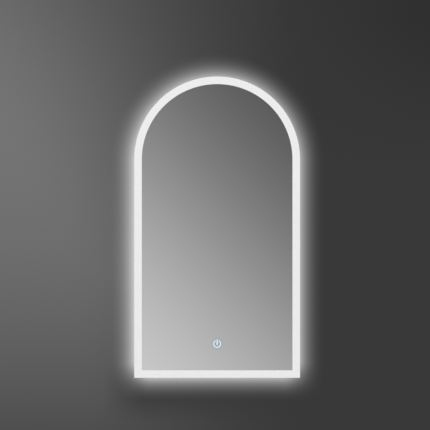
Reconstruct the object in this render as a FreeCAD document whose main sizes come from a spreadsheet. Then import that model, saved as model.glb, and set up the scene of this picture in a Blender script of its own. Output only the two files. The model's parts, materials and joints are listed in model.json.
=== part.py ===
"""Lighted bathroom mirror with an arched head.

An arched pane with a frosted border is taped to a hollow aluminium chassis. An LED strip lies in the
chassis's outer wall, inside an opal diffuser that lights the border from behind and the wall around it.
The chassis hangs by a folded rail with two keyholes. A touch switch sits behind the lit symbol.

Millimetres. The origin is midway between the two keyholes, on the wall. +Z is up, +X is to the viewer's
right and -Y points out of the wall to the viewer. "Inset" is always measured inwards from the pane's edge.
"""
import FreeCAD
import Part
import math
import os
import re

import Sketcher

SIZES = {
    # Pane
    "overall_width": 550,
    "overall_height": 1000,
    "overall_depth": 35,
    "glass_thickness": 5,
    "glass_arris": 0.5,
    "border_width": 25,
    "backing_thickness": 0.3,
    "tape_thickness": 1,
    "tape_width": 14,
    "tape_joint_gap": 1,
    # Chassis extrusion
    "chassis_inset": 33,
    "chassis_width": 20,
    "chassis_wall": 1.5,
    "rear_lip_margin": 3,
    "lip_reach": 4,
    "lip_thickness": 1.5,
    "key_arm": 45,
    "key_wall": 3,
    "key_clearance": 0.25,
    # LED strips
    "strip_width": 10,
    "strip_thickness": 0.4,
    "strip_side_gap": 1,
    "strip_seat_gap": 0.1,
    "strip_end_gap": 10,
    "chip_length": 3.5,
    "chip_width": 2.8,
    "chip_height": 0.7,
    "chip_pitch": 33.4,
    # Opal diffuser
    "diffuser_inset": 4,
    "diffuser_wall": 1.8,
    "diffuser_bevel": 4,
    "diffuser_glass_gap": 0.3,
    "groove_clearance": 0.35,
    # Hanging rail
    "hanger_drop": 300,
    "keyhole_spacing": 300,
    "keyhole_radius": 5.5,
    "keyhole_slot_width": 5.5,
    "keyhole_slot_rise": 10,
    "rail_thickness": 1.5,
    "rail_height": 40,
    "rail_flange": 10,
    "rail_bend": 1.5,
    "rail_end_gap": 4,
    "rail_flange_gap": 2,
    # Wall bumpers
    "bumper_side": 14,
    "bumper_foot_rise": 90,
    "bumper_pitch": 240,
    # Screws
    "screw_radius": 1.45,
    "screw_clearance": 0.1,
    "screw_length": 9,
    "pan_head_radius": 2.8,
    "pan_head_height": 1.8,
    "flat_head_radius": 2.7,
    # Demister
    "demister_width": 300,
    "demister_rail_gap": 55,
    "demister_box_gap": 30,
    "demister_corner": 12,
    "demister_thickness": 0.5,
    "demister_tab_width": 18,
    "demister_tab_height": 12,
    "demister_tab_depth": 4,
    # Electrics box
    "box_width": 220,
    "box_height": 90,
    "box_depth": 22,
    "box_rise": 230,
    "box_wall": 2,
    "box_corner": 6,
    "cover_thickness": 2,
    "cover_edge": 0.8,
    "rib_depth": 3,
    "rib_width": 1.5,
    "rib_clearance": 0.3,
    "pad_length": 180,
    "pad_width": 20,
    "pad_pitch": 55,
    # Supply inlet
    "grommet_bore_radius": 3.75,
    "grommet_groove_radius": 6,
    "grommet_flange_radius": 8,
    "grommet_flange_thickness": 2,
    "grommet_clearance": 0.1,
    "inlet_inset": 80,
    "inlet_rise": 22,
    # Terminals and power unit
    "terminal_count": 4,
    "terminal_pitch": 10,
    "terminal_height": 18,
    "terminal_depth": 13,
    "terminal_inset": 40,
    "terminal_drop": 22,
    "terminal_well_side": 5,
    "terminal_well_depth": 6,
    "terminal_clamp_side": 4.6,
    "terminal_clamp_height": 3.6,
    "terminal_entry_side": 3.4,
    "terminal_entry_depth": 6,
    "driver_length": 120,
    "driver_height": 36,
    "driver_depth": 16,
    "driver_inset": 20,
    "driver_rise": 20,
    "driver_corner": 3,
    # Leads
    "lead_radius": 1.5,
    "core_radius": 1.1,
    "lead_clearance": 0.5,
    "lead_insertion": 4,
    "lead_bend": 6,
    "core_pitch": 5,
    "clip_wall": 1.2,
    "clip_length": 8,
    "clip_base_width": 14,
    "clip_clearance": 0.1,
    "earth_drop": 36,
    "tag_radius": 4.5,
    "tag_thickness": 0.8,
    "tag_neck": 9,
    "barrel_side": 3.6,
    # Touch switch
    "icon_height": 113,
    "icon_window_radius": 15,
    "sensor_side": 42,
    "sensor_depth": 14,
    "sensor_wall": 1.6,
    "sensor_corner": 4,
    "gasket_width": 5,
    "board_thickness": 1.6,
    "board_clearance": 0.4,
    "light_guide_radius": 14,
    "light_guide_depth": 8,
    "led_side": 3,
    "led_height": 1,
    "led_clearance": 0.3,
}

doc = FreeCAD.newDocument("lighted_mirror")
sheet = doc.addObject("Spreadsheet::Sheet", "Sizes")
for row, (alias, number) in enumerate(SIZES.items(), start=1):
    sheet.set(f"A{row}", alias)
    sheet.set(f"B{row}", str(number))
    sheet.setAlias(f"B{row}", alias)
doc.recompute()

# Levels along Y, from the wall to the viewer
GLASS_BACK = "(glass_thickness - overall_depth)"
BACKING_BACK = f"({GLASS_BACK} + backing_thickness)"
CHASSIS_FRONT = f"({BACKING_BACK} + tape_thickness)"
CHASSIS_REAR = "(-rail_thickness)"
REAR_LIP = f"({CHASSIS_REAR} - rear_lip_margin)"
GROOVE_REAR = f"({REAR_LIP} - lip_thickness)"
GROOVE_FRONT = f"({GROOVE_REAR} - diffuser_wall - 2 * groove_clearance)"
BED_REAR = f"({GROOVE_FRONT} - lip_thickness)"
STRIP_FRONT = f"({BED_REAR} - strip_side_gap - strip_width)"
BED_MIDDLE = f"({BED_REAR} - strip_side_gap - strip_width / 2)"
BOX_FRONT = CHASSIS_FRONT
BOX_FLOOR = f"({BOX_FRONT} + box_wall)"
BOX_RIM = f"({BOX_FRONT} + box_depth)"
COVER_REAR = f"({BOX_RIM} + cover_thickness)"
LEAD_ON_PANE = f"({BACKING_BACK} + clip_wall + clip_clearance + lead_radius)"

# Places along X and Z
HALF_WIDTH = "(overall_width / 2)"
FOOT = "(hanger_drop - overall_height)"
ARCH_CENTRE = f"(hanger_drop - {HALF_WIDTH})"
CHASSIS_INNER = "(chassis_inset + chassis_width)"
CHASSIS_MIDDLE = "(chassis_inset + chassis_width / 2)"
CHASSIS_INNER_X = f"({HALF_WIDTH} - {CHASSIS_INNER})"
STRIP_BACK = "(chassis_inset - strip_seat_gap)"
STRIP_FACE = f"({STRIP_BACK} - strip_thickness)"
STRIP_FOOT = f"({FOOT} + chassis_inset + strip_end_gap)"
ICON_LEVEL = f"({FOOT} + icon_height)"
BOX_MIDDLE = f"({FOOT} + box_rise)"
BOX_BOTTOM = f"({BOX_MIDDLE} - box_height / 2)"
BOX_TOP = f"({BOX_MIDDLE} + box_height / 2)"
DEMISTER_TOP = "(-rail_height / 2 - demister_rail_gap)"
DEMISTER_BOTTOM = f"({BOX_TOP} + demister_box_gap)"
TERMINAL_X = "(box_width / 2 - terminal_inset)"
TERMINAL_TOP = f"({BOX_MIDDLE} - terminal_drop + terminal_height / 2)"
TERMINAL_BOTTOM = f"({BOX_MIDDLE} - terminal_drop - terminal_height / 2)"
TERMINAL_MIDDLE = f"({BOX_FLOOR} + terminal_depth / 2)"
TERMINAL_REAR = f"({BOX_FLOOR} + terminal_depth)"
INLET_X = "(inlet_inset - box_width / 2)"
INLET_Z = f"({BOX_BOTTOM} + inlet_rise)"
DRIVER_MIDDLE = f"({BOX_MIDDLE} + driver_rise)"
DRIVER_BOTTOM = f"({DRIVER_MIDDLE} - driver_height / 2)"
DRIVER_LEFT = "(driver_inset - box_width / 2)"
DRIVER_RIGHT = f"({DRIVER_LEFT} + driver_length)"
DRIVER_LEAD_LEVEL = f"({BOX_FLOOR} + driver_depth / 2)"
CLIP_X = f"((box_width / 2 + {CHASSIS_INNER_X}) / 2)"
SENSOR_TOP = f"({ICON_LEVEL} + sensor_side / 2)"
SENSOR_FRONT = CHASSIS_FRONT
SENSOR_REAR = f"({SENSOR_FRONT} + sensor_depth)"
BOARD_FRONT = f"({BACKING_BACK} + light_guide_depth)"
BOARD_REAR = f"({BOARD_FRONT} + board_thickness)"
SENSOR_LEAD_LEVEL = f"({BOARD_REAR} + lead_radius + lead_clearance / 2)"
SCREW_HOLE = "(screw_radius + screw_clearance)"
LEAD_HOLE = "(lead_radius + lead_clearance)"
EXIT_SIDE = f"(2 * {LEAD_HOLE})"

ORIGIN = -1
START, END, CENTRE = range(1, 4)
SIDES = (-1, 1)
LEAD_SIDES = 6
NORMAL = FreeCAD.Vector(0, 0, 1)
sub_parts = []


# Sizes and formulas

def bound(formula):
    """Point every size that a formula names at its cell of the sheet."""
    return re.sub(r"[a-z]\w*", lambda word: f"Sizes.{word[0]}" if word[0] in SIZES else word[0], str(formula))


def value(formula):
    """The number that a formula gives with the present sizes."""
    return float(sheet.evalExpression(bound(formula)))


def point(x, y, z="0"):
    return FreeCAD.Vector(value(x), value(y), value(z))


# Sketches

def new_body(name):
    body = doc.addObject("PartDesign::Body", name)
    body.Label = name
    body.AllowCompound = True
    sub_parts.append(body)
    return body


def datum(body, role):
    return next(feature for feature in body.Origin.OriginFeatures if feature.Role == role)


def new_sketch(body, name, plane, x="0", y="0", level="0"):
    """A sketch on one of the body's own planes. The XZ plane faces the viewer, so its level is minus Y."""
    sketch = body.newObject("Sketcher::SketchObject", name)
    sketch.AttachmentSupport = [(datum(body, plane), "")]
    sketch.MapMode = "FlatFace"
    for axis, formula in (("x", x), ("y", y), ("z", level)):
        if formula != "0":
            sketch.setExpression(f"AttachmentOffset.Base.{axis}", bound(formula))
    return sketch


def facing(body, name, level, x="0", z="0"):
    """A sketch seen from the front, with X to the right and Z up, at a level along Y."""
    return new_sketch(body, name, "XZ_Plane", x, z, f"-{level}")


def constrain(sketch, formula, kind, *elements):
    number = sketch.addConstraint(Sketcher.Constraint(kind, *elements, value(formula)))
    sketch.setExpression(f"Constraints[{number}]", bound(formula))


def place(sketch, geometry, end, x, y):
    constrain(sketch, x, "DistanceX", ORIGIN, START, geometry, end)
    constrain(sketch, y, "DistanceY", ORIGIN, START, geometry, end)


def join(sketch, first, second, kind="Coincident"):
    sketch.addConstraint(Sketcher.Constraint(kind, first[0], first[1], second[0], second[1]))


def polygon(sketch, corners):
    """A closed outline of straight lines, with every corner held by its own pair of formulas."""
    points = [point(x, y) for x, y in corners]
    following = points[1:] + points[:1]
    lines = [sketch.addGeometry(Part.LineSegment(*ends), False) for ends in zip(points, following)]
    for line, after, (x, y) in zip(lines, lines[1:] + lines[:1], corners):
        join(sketch, (line, END), (after, START))
        place(sketch, line, START, x, y)


def rectangle(sketch, left, right, low, high):
    polygon(sketch, [(left, low), (right, low), (right, high), (left, high)])


def square(sketch, x, z, side):
    half = f"({side}) / 2"
    rectangle(sketch, f"{x} - {half}", f"{x} + {half}", f"{z} - {half}", f"{z} + {half}")


def circle(sketch, x, y, radius):
    ring = sketch.addGeometry(Part.Circle(point(x, y), NORMAL, value(radius)), False)
    place(sketch, ring, CENTRE, x, y)
    constrain(sketch, radius, "Radius", ring)


def arch(sketch, inset, foot):
    """Left upright, half circle and right upright, as one tangent run from foot to foot."""
    radius = f"({HALF_WIDTH} - ({inset}))"
    side, spring, low = value(radius), value(ARCH_CENTRE), value(foot)
    rim = Part.Circle(FreeCAD.Vector(0, spring, 0), NORMAL, side)
    left = sketch.addGeometry(
        Part.LineSegment(FreeCAD.Vector(-side, low, 0), FreeCAD.Vector(-side, spring, 0)), False
    )
    crown = sketch.addGeometry(Part.ArcOfCircle(rim, 0, math.pi), False)
    right = sketch.addGeometry(
        Part.LineSegment(FreeCAD.Vector(side, spring, 0), FreeCAD.Vector(side, low, 0)), False
    )
    join(sketch, (left, END), (crown, END), "Tangent")
    join(sketch, (crown, START), (right, START), "Tangent")
    sketch.addConstraint(Sketcher.Constraint("Vertical", left))
    sketch.addConstraint(Sketcher.Constraint("Vertical", right))
    place(sketch, crown, CENTRE, "0", ARCH_CENTRE)
    constrain(sketch, radius, "Radius", crown)
    constrain(sketch, foot, "DistanceY", ORIGIN, START, left, START)
    constrain(sketch, foot, "DistanceY", ORIGIN, START, right, END)
    return left, right


def closed_arch(sketch, inset):
    """The pane's own outline, or one parallel to it all round."""
    left, right = arch(sketch, inset, f"{FOOT} + {inset}")
    ends = [sketch.getPoint(right, END), sketch.getPoint(left, START)]
    sill = sketch.addGeometry(Part.LineSegment(*ends), False)
    join(sketch, (right, END), (sill, START))
    join(sketch, (sill, END), (left, START))


def arch_band(sketch, outer_inset, inner_inset, foot):
    """A band of even width over both legs and the arch, cut square at its feet."""
    outer_left, outer_right = arch(sketch, outer_inset, foot)
    inner_left, inner_right = arch(sketch, inner_inset, foot)
    for outer, outer_end, inner in ((outer_left, START, inner_left), (outer_right, END, inner_right)):
        ends = [sketch.getPoint(outer, outer_end), sketch.getPoint(inner, outer_end)]
        foot_line = sketch.addGeometry(Part.LineSegment(*ends), False)
        join(sketch, (outer, outer_end), (foot_line, START))
        join(sketch, (foot_line, END), (inner, outer_end))


# Features

def feature_on(body, kind, name):
    feature = body.newObject(f"PartDesign::{kind}", name)
    body.Tip = feature
    return feature


def pad(body, sketch, length, symmetric=False, name="Pad"):
    feature = feature_on(body, "Pad", name)
    feature.Profile = sketch
    feature.setExpression("Length", bound(length))
    if symmetric:
        feature.SideType = "Symmetric"
    return feature


def pocket(body, sketch, depth, forward=False, symmetric=False, name="Pocket"):
    """Cut against the sketch's normal, or along it when forward is set."""
    feature = feature_on(body, "Pocket", name)
    feature.Profile = sketch
    feature.setExpression("Length", bound(depth))
    feature.Reversed = forward
    if symmetric:
        feature.SideType = "Symmetric"
    return feature


def sweep(body, section, route):
    feature = feature_on(body, "AdditivePipe", "Sweep")
    feature.Profile = section
    feature.Spine = (route, [f"Edge{number + 1}" for number in range(route.GeometryCount)])
    return feature


def revolve(body, sketch, axis, name="Revolution"):
    feature = feature_on(body, "Revolution", name)
    feature.Profile = sketch
    feature.ReferenceAxis = (sketch, [axis])
    feature.Angle = 360
    return feature


def mirror(body, features, plane="YZ_Plane"):
    feature = feature_on(body, "Mirrored", "Mirror")
    feature.Originals = features
    feature.MirrorPlane = (datum(body, plane), [""])
    return feature


def repeat(body, features, axis, spacing, count):
    """Copies of features in a row along one of the body's axes."""
    feature = feature_on(body, "LinearPattern", "Row")
    feature.Originals = features
    feature.Direction = (datum(body, axis), [""])
    feature.Mode = "Spacing"
    feature.setExpression("Offset", bound(spacing))
    feature.setExpression("Occurrences", bound(count))
    return feature


def dress_edges(body, kind, size, chosen):
    """Round or chamfer the edges of the body so far that a test picks."""
    doc.recompute()
    base = body.Tip
    picked = [f"Edge{number}" for number, edge in enumerate(base.Shape.Edges, start=1) if chosen(edge)]
    feature = feature_on(body, kind, kind)
    feature.Base = (base, picked)
    feature.setExpression("Radius" if kind == "Fillet" else "Size", bound(size))
    return feature


def near(first, second):
    return abs(first - second) < 1e-4


def at_level(level):
    """Picks the edges that lie wholly at one level along Y."""
    return lambda edge: near(edge.BoundBox.YMin, value(level)) and near(edge.BoundBox.YMax, value(level))


def along_y(edge):
    return near(edge.BoundBox.XLength, 0) and near(edge.BoundBox.ZLength, 0)


def circle_at(level, radius):
    """Picks the round edges of one radius at one level along Y."""
    def chosen(edge):
        return at_level(level)(edge) and hasattr(edge.Curve, "Radius") and near(edge.Curve.Radius, value(radius))
    return chosen


def mitre(body, keep_upright):
    """Cut both bottom corners at 45 degrees, keeping the upright's side or the sill's side."""
    sketch = facing(body, "Mitre", "0")
    reach = "(chassis_inset + 2 * chassis_width)"
    for side in SIDES:
        corner_x, inner_x = f"{side} * {HALF_WIDTH}", f"{side} * ({HALF_WIDTH} - {reach})"
        square = (inner_x, FOOT) if keep_upright else (corner_x, f"{FOOT} + {reach}")
        polygon(sketch, [(corner_x, FOOT), (inner_x, f"{FOOT} + {reach}"), square])
    pocket(body, sketch, "overall_depth", forward=True, name="MitreCut")


# Profiles: lists of (inset, level) pairs

def chassis_outline():
    """Outside of the hollow extrusion: a box with two lips that hold the diffuser and seat the strip."""
    outer, inner, lip = "chassis_inset", CHASSIS_INNER, "(chassis_inset - lip_reach)"
    return [
        (outer, CHASSIS_FRONT), (inner, CHASSIS_FRONT), (inner, CHASSIS_REAR), (outer, CHASSIS_REAR),
        (outer, REAR_LIP), (lip, REAR_LIP), (lip, GROOVE_REAR), (outer, GROOVE_REAR),
        (outer, GROOVE_FRONT), (lip, GROOVE_FRONT), (lip, BED_REAR), (outer, BED_REAR),
    ]


def chassis_hollow():
    outer, inner = "(chassis_inset + chassis_wall)", f"({CHASSIS_INNER} - chassis_wall)"
    front, rear = f"({CHASSIS_FRONT} + chassis_wall)", f"({CHASSIS_REAR} - chassis_wall)"
    return [(outer, front), (inner, front), (inner, rear), (outer, rear)]


def diffuser_outline():
    """An L with a bevelled heel: its tongue enters the chassis's groove, its side wall rises to the pane."""
    tongue, outside = "(chassis_inset - groove_clearance)", "diffuser_inset"
    inside = "(diffuser_inset + diffuser_wall)"
    rear = f"({GROOVE_REAR} - groove_clearance)"
    floor = f"({rear} - diffuser_wall)"
    front = f"({GLASS_BACK} + diffuser_glass_gap)"
    bevel, inner_bevel = "diffuser_bevel", "(diffuser_bevel - 0.6 * diffuser_wall)"
    return [
        (tongue, rear), (f"{outside} + {bevel}", rear), (outside, f"{rear} - {bevel}"), (outside, front),
        (inside, front), (inside, f"{floor} - {inner_bevel}"), (f"{inside} + {inner_bevel}", floor),
        (tongue, floor),
    ]


def strip_outline():
    rear = f"({BED_REAR} - strip_side_gap)"
    return [(STRIP_FACE, rear), (STRIP_BACK, rear), (STRIP_BACK, STRIP_FRONT), (STRIP_FACE, STRIP_FRONT)]


def swept_arch(body, profiles, foot):
    """Sweep a profile up the left leg, round the arch and down the right leg."""
    route = facing(body, "Route", "0")
    arch(route, CHASSIS_MIDDLE, foot)
    section = new_sketch(body, "Section", "XY_Plane", level=foot)
    for profile in profiles:
        polygon(section, [(f"-{HALF_WIDTH} + {inset}", level) for inset, level in profile])
    sweep(body, section, route)


def straight_sill(body, profiles, length):
    """Run the same profile straight across the bottom."""
    section = new_sketch(body, "Section", "YZ_Plane")
    for profile in profiles:
        polygon(section, [(level, f"{FOOT} + {inset}") for inset, level in profile])
    pad(body, section, length, symmetric=True)


# Fasteners

def screw(body, name, plane, axis, seat, towards, head="pan"):
    """A screw revolved about one axis of its sketch, whose origin is the centre of the head's seat."""
    sketch = new_sketch(body, name, plane, *seat)
    if head == "pan":
        rise = "pan_head_height"
        profile = [
            (f"-{rise}", "0"), (f"-{rise}", "pan_head_radius"), ("0", "pan_head_radius"), ("0", "screw_radius"),
            ("screw_length", "screw_radius"), ("screw_length", "0"),
        ]
    else:
        sunk = "(flat_head_radius - screw_radius)"
        profile = [
            ("0", "0"), ("0", "flat_head_radius"), (sunk, "screw_radius"),
            ("screw_length", "screw_radius"), ("screw_length", "0"),
        ]
    if axis == "H_Axis":
        corners = [(f"{towards} * ({along})", out) for along, out in profile]
    else:
        corners = [(out, f"{towards} * ({along})") for along, out in profile]
    polygon(sketch, corners)
    return revolve(body, sketch, axis, f"{name}Turned")


# Pane

def mirror_glass():
    body = new_body("mirror_glass")
    sketch = facing(body, "Outline", GLASS_BACK)
    closed_arch(sketch, "0")
    pad(body, sketch, "glass_thickness")
    dress_edges(body, "Chamfer", "glass_arris", lambda edge: at_level(GLASS_BACK)(edge)
                or at_level("-overall_depth")(edge))


def silvered_backing():
    """Silver, paint and safety film as one layer, with a clear window behind the touch symbol."""
    body = new_body("silvered_backing")
    sketch = facing(body, "Outline", BACKING_BACK)
    closed_arch(sketch, "border_width")
    circle(sketch, "0", ICON_LEVEL, "icon_window_radius")
    pad(body, sketch, "backing_thickness")


def mounting_tape():
    body = new_body("mounting_tape")
    margin = "((chassis_width - tape_width) / 2)"
    outer, inner = f"(chassis_inset + {margin})", f"({CHASSIS_INNER} - {margin})"
    sketch = facing(body, "Runs", CHASSIS_FRONT)
    arch_band(sketch, outer, inner, f"{FOOT} + {outer}")
    reach = f"({HALF_WIDTH} - {inner} - tape_joint_gap)"
    rectangle(sketch, f"-{reach}", reach, f"{FOOT} + {outer}", f"{FOOT} + {inner}")
    pad(body, sketch, "tape_thickness")


# Chassis

def chassis_arch():
    body = new_body("chassis_arch")
    swept_arch(body, [chassis_outline(), chassis_hollow()], FOOT)
    mitre(body, keep_upright=True)
    rail_holes = facing(body, "RailScrewHoles", CHASSIS_REAR)
    for side in SIDES:
        circle(rail_holes, f"{side} * ({HALF_WIDTH} - {CHASSIS_MIDDLE})", "0", SCREW_HOLE)
    pocket(body, rail_holes, "2 * chassis_wall", forward=True, name="RailScrewHolesCut")
    led_hole = new_sketch(body, "LeadHole", "YZ_Plane", level=f"-{CHASSIS_INNER_X}")
    square(led_hole, BED_MIDDLE, DRIVER_MIDDLE, EXIT_SIDE)
    pocket(body, led_hole, "chassis_width + lip_reach", name="LeadHoleCut")
    earth_hole = new_sketch(body, "EarthHole", "YZ_Plane", level=CHASSIS_INNER_X)
    circle(earth_hole, BED_MIDDLE, f"{DRIVER_MIDDLE} - earth_drop", SCREW_HOLE)
    pocket(body, earth_hole, "2 * chassis_wall", forward=True, name="EarthHoleCut")


def chassis_bottom():
    body = new_body("chassis_bottom")
    straight_sill(body, [chassis_outline(), chassis_hollow()], "overall_width")
    mitre(body, keep_upright=False)


def corner_keys():
    """L-shaped keys, open at the rear, that are crimped in the hollow of the leg and of the sill."""
    body = new_body("corner_keys")
    gap = "(chassis_wall + key_clearance)"
    outer, inner = f"(chassis_inset + {gap})", f"({CHASSIS_INNER} - {gap})"
    tip = f"({outer} + key_arm)"

    def ell(sketch, edge):
        low, high, end = f"({outer} + {edge})", f"({inner} - {edge})", f"({tip} - {edge})"
        corners = [(low, low), (end, low), (end, high), (high, high), (high, end), (low, end)]
        polygon(sketch, [(f"-{HALF_WIDTH} + {across}", f"{FOOT} + {up}") for across, up in corners])

    rear = f"({CHASSIS_REAR} - {gap})"
    depth = f"({CHASSIS_REAR} - {CHASSIS_FRONT} - 2 * {gap})"
    block = facing(body, "Ell", rear)
    ell(block, "0")
    solid = pad(body, block, depth)
    inside = facing(body, "Hollow", rear)
    ell(inside, "key_wall")
    hollow = pocket(body, inside, f"{depth} - key_wall", forward=True)
    mirror(body, [solid, hollow])


# Light

def led_strips():
    body = new_body("led_strip_arch")
    swept_arch(body, [strip_outline()], STRIP_FOOT)
    body = new_body("led_strip_bottom")
    straight_sill(body, [strip_outline()], f"2 * ({HALF_WIDTH} - chassis_inset - strip_end_gap)")


def led_chips():
    """Packages at an even pitch up both legs, round the arch and along the bottom."""
    body = new_body("led_chips")
    level = f"{BED_MIDDLE} + chip_length / 2"
    face = f"({HALF_WIDTH} - {STRIP_FACE})"

    def chip(name, x, z, left, right, low, high):
        sketch = facing(body, name, f"({level})", x, z)
        rectangle(sketch, left, right, low, high)
        return sketch, pad(body, sketch, "chip_length", name=f"{name}Body")

    half = "chip_width / 2"
    out = f"{face} + chip_height"
    crown, crown_chip = chip("CrownChip", "0", ARCH_CENTRE, face, out, f"-{half}", half)
    around = feature_on(body, "PolarPattern", "Crown")
    around.Originals = [crown_chip]
    around.Axis = (crown, ["N_Axis"])
    around.Angle = 180
    around.setExpression("Occurrences", bound(f"floor(3.14159 * {face} / chip_pitch) + 1"))
    for side, name in ((-1, "LeftChip"), (1, "RightChip")):
        inner, outer = f"{side} * ({face})", f"{side} * ({out})"
        _, leg_chip = chip(name, "0", STRIP_FOOT, inner, outer, "chip_pitch / 2 - chip_width",
                           "chip_pitch / 2")
        repeat(body, [leg_chip], "Z_Axis", "chip_pitch",
               f"floor(({ARCH_CENTRE} - {STRIP_FOOT}) / chip_pitch)")
    reach = f"({HALF_WIDTH} - chassis_inset - strip_end_gap)"
    _, sill_chip = chip("SillChip", f"-{reach}", f"{FOOT} + {STRIP_FACE}",
                        "chip_pitch / 2 - chip_width", "chip_pitch / 2", "-chip_height", "0")
    repeat(body, [sill_chip], "X_Axis", "chip_pitch", f"floor(2 * {reach} / chip_pitch)")


def diffusers():
    body = new_body("diffuser_arch")
    swept_arch(body, [diffuser_outline()], FOOT)
    mitre(body, keep_upright=True)
    body = new_body("diffuser_bottom")
    straight_sill(body, [diffuser_outline()], "overall_width")
    mitre(body, keep_upright=False)


# Hanging

def hanging_rail():
    """A web on the wall plane, with flanges folded forwards between the legs."""
    body = new_body("hanging_rail")
    high, thick = "(rail_height / 2)", "rail_thickness"
    section = new_sketch(body, "Section", "YZ_Plane")
    polygon(section, [
        ("0", f"-{high}"), ("0", high), ("-rail_flange", high), ("-rail_flange", f"{high} - {thick}"),
        (f"-{thick}", f"{high} - {thick}"), (f"-{thick}", f"{thick} - {high}"),
        ("-rail_flange", f"{thick} - {high}"), ("-rail_flange", f"-{high}"),
    ])
    reach = f"({HALF_WIDTH} - chassis_inset - rail_end_gap)"
    pad(body, section, f"2 * {reach}", symmetric=True)

    def bend(level, height):
        def chosen(edge):
            return (at_level(level)(edge) and near(edge.BoundBox.ZLength, 0)
                    and near(abs(edge.BoundBox.ZMin), value(height)))
        return chosen

    dress_edges(body, "Fillet", "rail_bend + rail_thickness", bend("0", high))
    dress_edges(body, "Fillet", "rail_bend", bend(f"-{thick}", f"{high} - {thick}"))
    notch = new_sketch(body, "FlangeEnds", "XY_Plane")
    for side in SIDES:
        rectangle(notch, f"{side} * ({CHASSIS_INNER_X} - rail_flange_gap)", f"{side} * ({reach} + 1)",
                  f"-{thick}", "-rail_flange - 1")
    pocket(body, notch, "2 * rail_height", symmetric=True, name="FlangeEndsCut")
    entry = facing(body, "KeyholeEntries", "0")
    slot = facing(body, "KeyholeSlots", "0")
    fixing = facing(body, "ScrewHoles", "0")
    half = "(keyhole_slot_width / 2)"
    for side in SIDES:
        middle = f"({side} * keyhole_spacing / 2)"
        circle(entry, middle, "0", "keyhole_radius")
        keyhole_slot(slot, middle, half)
        circle(fixing, f"{side} * ({HALF_WIDTH} - {CHASSIS_MIDDLE})", "0", SCREW_HOLE)
    pocket(body, entry, "2 * rail_thickness", forward=True, name="KeyholeEntriesCut")
    pocket(body, slot, "2 * rail_thickness", forward=True, name="KeyholeSlotsCut")
    pocket(body, fixing, "2 * rail_thickness", forward=True, name="ScrewHolesCut")
    dress_edges(body, "Chamfer", "flat_head_radius - screw_radius", circle_at("0", SCREW_HOLE))


def keyhole_slot(sketch, middle, half):
    """A slot from the keyhole's centre up to a round top, where the wall screw's shank rests."""
    top = "keyhole_slot_rise"
    left, right = f"({middle} - {half})", f"({middle} + {half})"
    crown_circle = Part.Circle(point(middle, top), NORMAL, value(half))
    base = sketch.addGeometry(Part.LineSegment(point(left, "0"), point(right, "0")), False)
    rising = sketch.addGeometry(Part.LineSegment(point(right, "0"), point(right, top)), False)
    crown = sketch.addGeometry(Part.ArcOfCircle(crown_circle, 0, math.pi), False)
    falling = sketch.addGeometry(Part.LineSegment(point(left, top), point(left, "0")), False)
    place(sketch, base, START, left, "0")
    place(sketch, base, END, right, "0")
    join(sketch, (base, END), (rising, START))
    join(sketch, (rising, END), (crown, START), "Tangent")
    join(sketch, (crown, END), (falling, START), "Tangent")
    join(sketch, (falling, END), (base, START))
    constrain(sketch, top, "DistanceY", ORIGIN, START, crown, CENTRE)


def rail_screws():
    body = new_body("rail_screws")
    turned = screw(body, "RailScrew", "XY_Plane", "V_Axis", (f"{HALF_WIDTH} - {CHASSIS_MIDDLE}", "0", "0"), -1,
                   head="flat")
    mirror(body, [turned])


def wall_bumpers():
    """Pads on the chassis's rear face, as thick as the rail, so that all of them meet the wall."""
    body = new_body("wall_bumpers")
    sketch = facing(body, "Pads", "0")
    square(sketch, "0", f"hanger_drop - {CHASSIS_MIDDLE}", "bumper_side")
    for side in SIDES:
        for step in range(2):
            square(sketch, f"{side} * ({HALF_WIDTH} - {CHASSIS_MIDDLE})",
                   f"{FOOT} + bumper_foot_rise + {step} * bumper_pitch", "bumper_side")
    pad(body, sketch, "rail_thickness")


# Demister

def demister_pad():
    """A heating film on the pane's back, with the raised cover over its soldered tails."""
    body = new_body("demister_pad")
    film = facing(body, "Film", f"({BACKING_BACK} + demister_thickness)")
    rectangle(film, "-demister_width / 2", "demister_width / 2", DEMISTER_BOTTOM, DEMISTER_TOP)
    pad(body, film, "demister_thickness", name="Film")
    dress_edges(body, "Fillet", "demister_corner", along_y)
    tab = facing(body, "Tab", f"({BACKING_BACK} + demister_tab_depth)")
    middle = terminal_x(2)
    rectangle(tab, f"{middle} - demister_tab_width / 2", f"{middle} + demister_tab_width / 2",
              f"{DEMISTER_BOTTOM} + 2", f"{DEMISTER_BOTTOM} + 2 + demister_tab_height")
    pad(body, tab, "demister_tab_depth - demister_thickness", name="TabCover")


# Electrics box

def box_pads():
    body = new_body("box_pads")
    sketch = facing(body, "Pads", BOX_FRONT)
    for side in SIDES:
        middle = f"({BOX_MIDDLE} + {side} * pad_pitch / 2)"
        rectangle(sketch, "-pad_length / 2", "pad_length / 2", f"{middle} - pad_width / 2",
                  f"{middle} + pad_width / 2")
    pad(body, sketch, "tape_thickness")


def box_outline(sketch, edge="0"):
    wide, high = f"(box_width / 2 - {edge})", f"(box_height / 2 - {edge})"
    rectangle(sketch, f"-{wide}", wide, f"{BOX_MIDDLE} - {high}", f"{BOX_MIDDLE} + {high}")


def terminal_x(pole):
    """Place along X of one pole of the terminal block, counted from the left."""
    return f"({TERMINAL_X} + ({pole} - (terminal_count - 1) / 2) * terminal_pitch)"


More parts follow.
